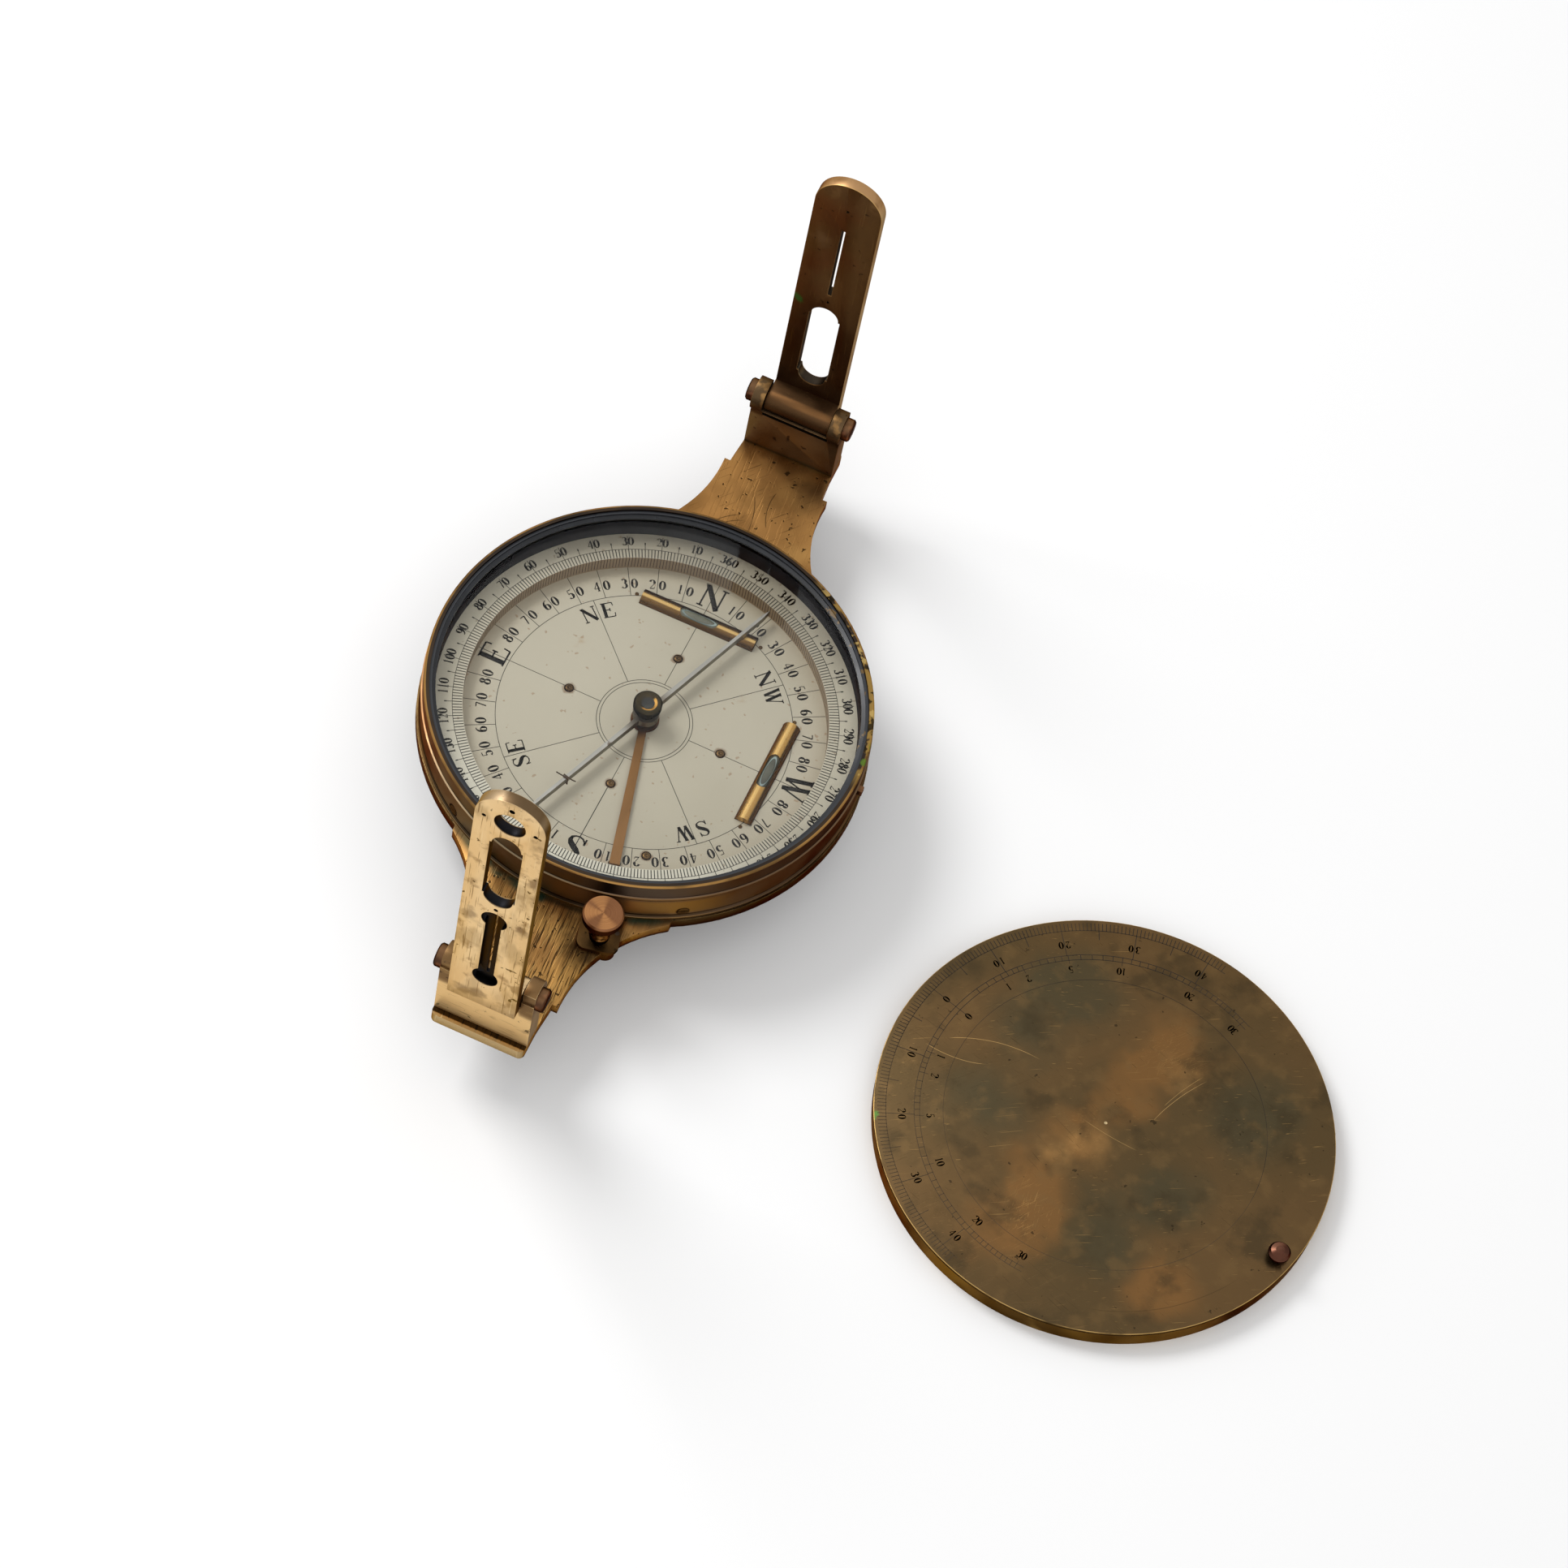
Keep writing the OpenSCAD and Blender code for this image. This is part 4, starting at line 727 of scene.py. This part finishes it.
def clearGlass(name):
    # Clear, with a soft shine that grows at a flat angle
    material = newMaterial(name)
    tree = material.node_tree
    tree.nodes.remove(tree.nodes["Principled BSDF"])
    clear = addNode(tree, "ShaderNodeBsdfTransparent", Color=thinGlass["tint"]).outputs[0]
    shine = addNode(tree, "ShaderNodeBsdfGlossy", Roughness=thinGlass["roughness"]).outputs[0]
    flatness = addNode(tree, "ShaderNodeFresnel", IOR=thinGlass["bending"]).outputs[0]
    smear = remap(tree, noiseOf(tree, 18), 0.4, 0.7, *thinGlass["shine"])
    mix = addNode(tree, "ShaderNodeMixShader", (joinValues(tree, "MULTIPLY", flatness, smear), clear, shine))
    feed(tree, tree.nodes["Material Output"].inputs["Surface"], mix.outputs[0])
    return material


finish["clearGlass"] = clearGlass("clearGlass")

nodeFinish = {
    "wallBrass": "box_wall", "pinBronze": "wall_pin", "clearGlass": "glass", "blackenedRing": "glass_ring",
    "silveredDial": "dial_plate", "silveredDegrees": "degree_ring", "northLevelBrass": "north_level_tube",
    "levelBrass": "pivot_post west_level_tube", "screwSteel": "wall_screws dial_screws level_pins",
    "vialGlass": "north_level_vial west_level_vial", "blueSteel": "pivot_pin needle_bar",
    "capBrass": "needle_cap", "jewelStone": "cap_jewel", "leverCopper": "lift_collar lifter_lever",
    "bridgeBrass": "lifter_bridge",
    "darkSteel": "balance_coil lifter_pivot_pin bridge_screw lifter_screw block_screws socket_screws "
                 "clamp_screw",
    "knobCopper": "lifter_knob", "skirtBrass": "cover_skirt", "coverKnobCopper": "cover_knob",
}
for finishName, nodeNames in nodeFinish.items():
    for nodeName in nodeNames.split():
        nodes[nodeName].data.materials.clear()
        nodes[nodeName].data.materials.append(finish[finishName])


# Brass pieces with eased, worn edges
print("brass pieces")

easedPieces = {
    "mainPlate": ("main_plate", "armBrass", "arm_brass", 0.3),
    "northBlock": ("north_hinge_block", "northBlockBronze", "dark_brass", 0.3),
    "southBlock": ("south_hinge_block", "southBlockBrass", "pale_brass", 0.3),
    "northSight": ("north_sight", "northSightBronze", "dark_brass", 0.3),
    "southSight": ("south_sight", "southSightBrass", "pale_brass", 0.3),
    "northPin": ("north_hinge_pin", "pinBronze", "dark_brass", 0.2),
    "southPin": ("south_hinge_pin", "pinBronze", "dark_brass", 0.2),
    "staffSocket": ("staff_socket", "socketBrass", "arm_brass", 0.4),
    "clampKnob": ("clamp_knob", "socketBrass", "level_brass", 0.25),
    "coverPlate": ("cover_plate", "coverBrass", "cover_brass", 0.2),
}
for pieceName, settings in easedPieces.items():
    bevelledCopy(pieceName, *settings)


# Engraved figures and letters
print("engraving")

# A stroke is a line (x, y, x, y, half width), a bowl (x, y, radius, radius, start, end)
# or a list of points (x, y, half width); one without a half width is a hairline
hairline = 0.034
bowl = {"thin": 0.038, "thick": 0.115, "swell": 1.6, "degreesPerStep": 18, "leastSteps": 6}
figureShapes = {
    "0": [(0.3, 0.5, 0.22, 0.47, 0, 360)],
    "1": [(0.3, 0.02, 0.3, 0.98, 0.075), (0.16, 0.02, 0.44, 0.02), (0.18, 0.82, 0.3, 0.95, 0.03)],
    "2": [(0.28, 0.72, 0.2, 0.25, 170, -35), (0.45, 0.58, 0.1, 0.06, 0.03), (0.08, 0.06, 0.46, 0.06, 0.05),
          (0.46, 0.06, 0.5, 0.24)],
    "3": [(0.26, 0.76, 0.18, 0.21, 150, -85), (0.26, 0.28, 0.22, 0.26, 85, -150)],
    "4": [(0.4, 0.98, 0.04, 0.3, 0.036), (0.04, 0.3, 0.56, 0.3, 0.036), (0.4, 0.02, 0.4, 0.98, 0.075),
          (0.28, 0.02, 0.52, 0.02)],
    "5": [(0.14, 0.94, 0.46, 0.96, 0.04), (0.14, 0.94, 0.12, 0.52), (0.27, 0.3, 0.21, 0.28, 130, -150)],
    "6": [(0.3, 0.3, 0.2, 0.28, 0, 360), (0.42, 0.46, 0.33, 0.52, 80, 190)],
    "7": [(0.08, 0.93, 0.52, 0.93, 0.05), (0.51, 0.93, 0.24, 0.02, 0.06)],
    "8": [(0.29, 0.76, 0.15, 0.21, 0, 360), (0.29, 0.28, 0.21, 0.26, 0, 360)],
    "9": [(0.28, 0.7, 0.2, 0.28, 0, 360), (0.16, 0.54, 0.33, 0.52, 10, -100)],
    "N": [(0.14, 0.02, 0.14, 0.98), (0.12, 0.98, 0.8, 0.02, 0.1), (0.8, 0.02, 0.8, 0.98),
          (0.02, 0.02, 0.27, 0.02), (0.02, 0.98, 0.22, 0.98), (0.68, 0.98, 0.93, 0.98)],
    "E": [(0.2, 0.02, 0.2, 0.98, 0.1), (0.05, 0.98, 0.74, 0.98), (0.05, 0.02, 0.76, 0.02),
          (0.2, 0.51, 0.52, 0.51), (0.73, 0.98, 0.75, 0.76, 0.03), (0.75, 0.02, 0.78, 0.27, 0.03),
          (0.52, 0.4, 0.52, 0.62, 0.036)],
    "W": [(0.12, 0.98, 0.36, 0.02, 0.09), (0.36, 0.02, 0.56, 0.8), (0.48, 0.98, 0.74, 0.02, 0.09),
          (0.74, 0.02, 0.98, 0.98), (0, 0.98, 0.26, 0.98), (0.38, 0.98, 0.62, 0.98), (0.86, 0.98, 1.1, 0.98)],
    "S": [[(0.62, 0.72), (0.6, 0.86), (0.5, 0.95), (0.36, 0.98, 0.028), (0.23, 0.94, 0.045),
           (0.14, 0.83, 0.07), (0.17, 0.69, 0.095), (0.28, 0.58, 0.11), (0.42, 0.48, 0.115),
           (0.55, 0.38, 0.11), (0.62, 0.26, 0.085), (0.6, 0.13, 0.055), (0.5, 0.05, 0.03), (0.36, 0.02),
           (0.22, 0.06), (0.12, 0.16), (0.08, 0.3)], (0.62, 0.7, 0.62, 0.98), (0.08, 0.3, 0.08, 0.02)],
}
figureWidth = {"N": 0.94, "E": 0.82, "W": 1.1, "S": 0.72, "1": 0.6}
usualWidth, figureThickness = 0.62, 0.03


def bowlPoints(cx, cy, rx, ry, start, end):
    # Part of an oval, thickest at its sides
    count = max(bowl["leastSteps"], round(abs(end - start) / bowl["degreesPerStep"]))
    points = []
    for step in range(count + 1):
        angle = math.radians(start + (end - start) * step / count)
        half = bowl["thin"] + (bowl["thick"] - bowl["thin"]) * abs(math.cos(angle)) ** bowl["swell"]
        points.append((cx + rx * math.cos(angle), cy + ry * math.sin(angle), half))
    return points


def figureMesh(shape):
    # One figure, a unit high, as flat ribbons whose width follows each point
    curve = bpy.data.curves.new("figure" + shape, "CURVE")
    curve.dimensions, curve.twist_mode, curve.extrude = "3D", "Z_UP", 1.0
    for stroke in figureShapes[shape]:
        closed = stroke[-1] == 360
        if isinstance(stroke, list):
            points = [(*point, hairline)[:3] for point in stroke]
        elif len(stroke) == 6:
            points = bowlPoints(*stroke)[:-1 if closed else None]
        else:
            x0, y0, x1, y1, half = (*stroke, hairline)[:5]
            points = [(x0, y0, half), (x1, y1, half)]
        spline = curve.splines.new("POLY")
        spline.points.add(len(points) - 1)
        spline.use_cyclic_u = closed
        for point, (x, y, half) in zip(spline.points, points):
            point.co, point.radius, point.tilt = (x, y, 0, 1), half, math.pi / 2
    holder = bpy.data.objects.new("figure" + shape, curve)
    mesh = bpy.data.meshes.new_from_object(holder)
    bpy.data.objects.remove(holder)
    return mesh


figures = {shape: figureMesh(shape) for shape in figureShapes}


def writeFigures(bm, text, angle, base, height, z, gap=0.0, inward=False, centre=(0, 0)):
    # Writes along an arc, angle clockwise from north; gap leaves room for a line in the middle
    widths = [figureWidth.get(shape, usualWidth) * height for shape in text]
    total = sum(widths) + gap
    left = -total / 2
    for index, (shape, width) in enumerate(zip(text, widths)):
        if gap and index == len(text) // 2:
            left += gap
        middle = left + width / 2
        turn = Matrix.Rotation(-math.radians(angle), 4, "Z") @ Matrix.Translation((0, base, 0))
        if inward:
            turn = turn @ Matrix.Rotation(math.pi, 4, "Z")
        swing = middle / base * (1 if inward else -1)
        lean = Matrix.Translation((middle, 0, 0)) @ Matrix.Rotation(swing, 4, "Z")
        centred = Matrix.Translation((-width / 2, 0, 0)) @ Matrix.Scale(height, 4)
        place = Matrix.Scale(mm, 4) @ Matrix.Translation((*centre, z))
        known = len(bm.verts)
        bm.from_mesh(figures[shape])
        bm.verts.ensure_lookup_table()
        bmesh.ops.transform(bm, matrix=place @ turn @ lean @ centred, verts=bm.verts[known:])
        left += width


def tickMarks(bm, first, last, width, low, high, every=1, count=1, start=0.0, centre=(0, 0)):
    # A row of short radial bars; angles in degrees clockwise from north
    known = len(bm.verts)
    bmesh.ops.create_cube(bm, size=1.0)
    bm.verts.ensure_lookup_table()
    verts = bm.verts[known:]
    middle = Vector((0, (first + last) / 2, (low + high) / 2)) * mm
    size = Matrix.Diagonal((width * mm, (last - first) * mm, (high - low) * mm, 1))
    around = Matrix.Rotation(-math.radians(start), 4, "Z")
    axis = (centre[0] * mm, centre[1] * mm, 0)
    placing = Matrix.Translation(axis) @ around @ Matrix.Translation(middle) @ size
    bmesh.ops.transform(bm, matrix=placing, verts=verts)
    if count > 1:
        edges, faces = {e for v in verts for e in v.link_edges}, {f for v in verts for f in v.link_faces}
        bmesh.ops.spin(bm, geom=[*verts, *edges, *faces], cent=axis, axis=up, dvec=(0, 0, 0),
                       angle=-math.radians(every) * (count - 1), steps=count - 1, use_duplicate=True)


def circleLine(bm, radius, width, low, high, steps=180, centre=(0, 0), start=0.0, sweep=360.0):
    axis = Vector((*centre, 0)) * mm
    aim = Vector((math.sin(math.radians(start)), math.cos(math.radians(start)), 0))
    corners = [(radius, low), (radius + width, low), (radius + width, high), (radius, high)]
    verts = [bm.verts.new(axis + (aim * r + Vector((0, 0, z))) * mm) for r, z in corners]
    if sweep >= 360:
        shape = verts + [bm.edges.new((verts[i], verts[(i + 1) % 4])) for i in range(4)]
    else:
        shape = [bm.faces.new(verts)]
        shape += verts + list(shape[0].edges)
    bmesh.ops.spin(bm, geom=shape, cent=axis, axis=up, dvec=(0, 0, 0), angle=-math.radians(sweep),
                   steps=steps, use_merge=sweep >= 360, use_duplicate=False)


def finishMarks(name, flat, solid, body, finishName, turn=0.0):
    # Flat figures get their thickness, join the bars and lines, and turn into place
    bmesh.ops.recalc_face_normals(flat, faces=flat.faces)
    for face in flat.faces:
        if face.normal.z < 0:
            face.normal_flip()
    bmesh.ops.solidify(flat, geom=flat.faces[:], thickness=figureThickness * mm)
    mesh = meshFrom(name + "Flat", flat)
    solid.from_mesh(mesh)
    bpy.data.meshes.remove(mesh)
    bmesh.ops.recalc_face_normals(solid, faces=solid.faces)
    bmesh.ops.transform(solid, matrix=Matrix.Rotation(turn, 4, "Z"), verts=solid.verts)
    asPiece(name, solid, body, finishName)


dial = {"top": 27.7, "sunk": 0.02, "raised": 0.022, "stroke": 0.2, "line": 46.5, "ringInside": 57.2,
        "hubCircles": (14.0, 15.0), "bandBase": 49.4, "bandHeight": 3.5, "bandGap": 0.9,
        "bigBase": 47.6, "bigHeight": 8.6, "pairBase": 39.2, "pairHeight": 5.4, "pairGap": 1.0,
        "southLine": (27.8, 53.0, 0.26), "southRaised": 0.026}


def dialMarks():
    z, line = dial["top"], dial["stroke"]
    solid, flat, lines = bmesh.new(), bmesh.new(), bmesh.new()
    low, high = z - dial["sunk"], z + dial["raised"]
    circleLine(lines, dial["line"], line, low, high)
    for radius in dial["hubCircles"]:
        circleLine(lines, radius, line, low, high, steps=96)
    tickMarks(lines, dial["line"], dial["ringInside"], line, low, high, 10, 36)
    tickMarks(lines, dial["hubCircles"][1], dial["line"], line, low, high, 45, 8)
    for quarter in (0, 180):  # figures count both ways from north and from south
        for ten in range(1, 9):
            for side in (-1, 1):
                writeFigures(flat, str(ten * 10), quarter + side * ten * 10, dial["bandBase"],
                             dial["bandHeight"], z, dial["bandGap"])
    for angle, text in ((0, "N"), (90, "W"), (180, "S"), (270, "E")):
        writeFigures(flat, text, angle, dial["bigBase"], dial["bigHeight"], z)
    for angle, text in ((45, "NW"), (135, "SW"), (225, "SE"), (315, "NE")):
        writeFigures(flat, text, angle, dial["pairBase"], dial["pairHeight"], z, dial["pairGap"])
    tickMarks(solid, *dial["southLine"], low, z + dial["southRaised"], start=180)  # the darkest line
    finishMarks("dialFigures", flat, solid, "compass", "engravedInk", dialTurn)
    finishMarks("dialLines", bmesh.new(), lines, "compass", "lineInk", dialTurn)


# Each row of ticks: from radius, to radius, width
ring = {"top": 33.35, "line": 60.3, "lineStroke": 0.18, "base": 61.9, "height": 3.1,
        "degrees": (57.3, 60.3, 0.3), "fives": (60.3, 62.9, 0.2), "fiveHeads": (62.1, 62.9, 0.4),
        "tens": (60.3, 65.4, 0.18), "bore": (57.17, 57.22, 0.2), "boreFrom": 28.3, "boreTo": 33.3}


def ringMarks():
    z = ring["top"]
    low, high = z - dial["sunk"], z + dial["raised"]
    solid, flat, lines = bmesh.new(), bmesh.new(), bmesh.new()
    circleLine(lines, ring["line"], ring["lineStroke"], low, high)
    tickMarks(lines, *ring["degrees"], low, high, 1, 360)
    tickMarks(lines, *ring["fives"], low, high, 10, 36, start=5)
    tickMarks(lines, *ring["tens"], low, high, 10, 36)
    tickMarks(solid, *ring["fiveHeads"], low, high, 10, 36, start=5)
    for ten in range(1, 37):
        writeFigures(flat, str(ten * 10), -ten * 10, ring["base"], ring["height"], z)
    finishMarks("ringFigures", flat, solid, "compass", "engravedInk", dialTurn)
    tickMarks(lines, *ring["bore"], ring["boreFrom"], ring["boreTo"], 1, 360)
    finishMarks("ringLines", bmesh.new(), lines, "compass", "lineInk", dialTurn)


# The outer scale is even, the inner one goes with the square root; both count both ways from zero
cover = {"centre": (181.5, -53.5), "top": 7.1, "raised": 0.02, "zero": -73.9, "edge": 70.5, "line": 67.8,
         "long": 59.1, "inner": 57.4, "plain": 50.2, "perTen": 20.2, "root": 18.2, "height": 2.5, "gap": 0.7,
         "tick": 0.21, "fineTick": 0.2, "circle": 0.18, "plainCircle": 0.12, "thinLine": 0.14,
         "fiveFrom": 64.6, "zeroFrom": 53.6, "rootFrom": 56.2, "outerBase": 64.2, "innerBase": 55.4,
         "ticks": 84, "ticksPerTen": 20, "lineReach": 86, "circleReach": 102}


def coverMarks():
    z, centre, zero, line = cover["top"], cover["centre"], cover["zero"], cover["line"]
    heights = z - cover["raised"], z + cover["raised"]
    solid, flat = bmesh.new(), bmesh.new()

    def tick(first, last, width, angle):
        tickMarks(solid, first, last, width, *heights, start=angle, centre=centre)

    def write(text, angle, base, gap=0.0):
        writeFigures(flat, text, angle, base, cover["height"], z, gap, True, centre)

    tickMarks(solid, line, cover["edge"], cover["tick"], *heights, cover["perTen"] / cover["ticksPerTen"],
              2 * cover["ticks"] + 1, zero - cover["ticks"] * cover["perTen"] / cover["ticksPerTen"], centre)
    for radius, reach in ((line, "lineReach"), (cover["long"], "circleReach"), (cover["inner"], "circleReach")):
        circleLine(solid, radius, cover["circle"], *heights, 120, centre, zero - cover[reach], 2 * cover[reach])
    circleLine(solid, cover["plain"], cover["plainCircle"], *heights, 180, centre)
    tick(cover["zeroFrom"], line, cover["thinLine"], zero)
    for side in (-1, 1):
        for five in range(1, 9):
            angle = zero + side * five * cover["perTen"] / 2
            tick(cover["fiveFrom"] if five % 2 else cover["long"], line, cover["tick"], angle)
            if five % 2 == 0:
                write(str(five * 5), angle, cover["outerBase"], cover["gap"])
        for value in [*(step / 4 for step in range(1, 9)), *(step / 2 for step in range(5, 11)), *range(6, 31)]:
            angle = zero + side * cover["root"] * math.sqrt(value)
            tick(cover["inner"], cover["long"], cover["fineTick"], angle)
        for value in (1, 2, 5, 10, 20, 30):
            angle = zero + side * cover["root"] * math.sqrt(value)
            tick(cover["rootFrom"], cover["inner"], cover["thinLine"], angle)
            write(str(value), angle, cover["innerBase"])
    for base in (cover["outerBase"], cover["innerBase"]):
        write("0", zero, base)
    finishMarks("coverFigures", flat, solid, "cover", "coverInk")


dialMarks()
ringMarks()
coverMarks()


# Small pieces
print("small pieces")

screwHead = {"radius": 1.45, "rise": 0.55, "steps": 28,
             "places": ((25.9, 0), (-25.9, 0), (0, 25.9), (0, -25.9), (20.45, -44.48))}


def dialScrewHeads():
    # Domed heads with a sunk middle
    bm = bmesh.new()
    top, r, rise = dial["top"], screwHead["radius"], screwHead["rise"]
    for place in screwHead["places"]:
        turnedPart(bm, [(0, top - 0.5), (r, top - 0.5), (r, top + 0.12), (r * 0.9, top + rise * 0.55),
                        (r * 0.66, top + rise * 0.9), (r * 0.4, top + rise * 0.86), (r * 0.3, top + rise * 0.5),
                        (0, top + rise * 0.42)], place, screwHead["steps"])
    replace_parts(asPiece("dialScrewHeads", bm, "compass", "screwSteel", 50), "dial_screws")


# How the wire lies: its radius, its place along the turned needle, and its loop round the needle's bar
balance = {"wire": 0.21, "along": -35.8, "turn": 20.2, "low": 30.36, "high": 33.44, "half": 0.98}


def balanceWire():
    # One round wire wrapped once about the needle, both ends left long
    low, high, side = balance["low"], balance["high"], balance["half"]
    path = [(-3.2, -0.9, high + 0.1), (-2.0, -0.6, high), (-side, -0.35, high), (side, -0.1, high),
            (side, 0.0, low), (-side, 0.2, low), (-side, 0.35, high), (side, 0.5, high), (2.1, 0.65, high),
            (3.3, 1.0, high + 0.15)]
    curve = bpy.data.curves.new("balanceWire", "CURVE")
    curve.dimensions, curve.bevel_depth, curve.bevel_resolution = "3D", balance["wire"] * mm, 2
    curve.use_fill_caps = True
    spline = curve.splines.new("POLY")
    spline.points.add(len(path) - 1)
    turn = Matrix.Rotation(-math.radians(balance["turn"]), 4, "Z")
    turn = turn @ Matrix.Translation((0, balance["along"], 0))
    for point, place in zip(spline.points, path):
        point.co = (*(turn @ Vector(place) * mm), 1)
    holder = bpy.data.objects.new("wireHolder", curve)
    bm = bmesh.new()
    mesh = bpy.data.meshes.new_from_object(holder)
    bm.from_mesh(mesh)
    bmesh.ops.remove_doubles(bm, verts=bm.verts, dist=1e-6)
    bpy.data.objects.remove(holder)
    bpy.data.meshes.remove(mesh)
    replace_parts(asPiece("balanceWire", bm, "needle", "darkSteel", 60), "balance_coil")


bubble = {"length": 10.4, "width": 2.5, "edge": 0.16, "rise": 0.14, "sunk": 0.06,
          "levelRadius": 42.0, "axis": 27.35, "glass": 2.16}


def bubbleEdges():
    # The outline of the bubble, an oval bead that follows the curve of the glass
    bm = bmesh.new()
    for turn in (0, -90):
        known = len(bm.verts)
        circleLine(bm, 1.0, bubble["edge"], 0.0, bubble["rise"], steps=48)
        bm.verts.ensure_lookup_table()
        around = Matrix.Rotation(math.radians(turn), 4, "Z")
        for vert in bm.verts[known:]:
            flat = vert.co / mm
            x, y = flat.x * bubble["length"] / 2, flat.y * bubble["width"] / 2
            lift = math.sqrt(bubble["glass"] ** 2 - y * y) + flat.z - bubble["sunk"]
            vert.co = around @ Vector((x, bubble["levelRadius"] + y, bubble["axis"] + lift)) * mm
    bmesh.ops.recalc_face_normals(bm, faces=bm.faces)
    asPiece("bubbleEdges", bm, "compass", "bubbleEdge", 60)


dialScrewHeads()
balanceWire()
bubbleEdges()


# Finish
print("done")
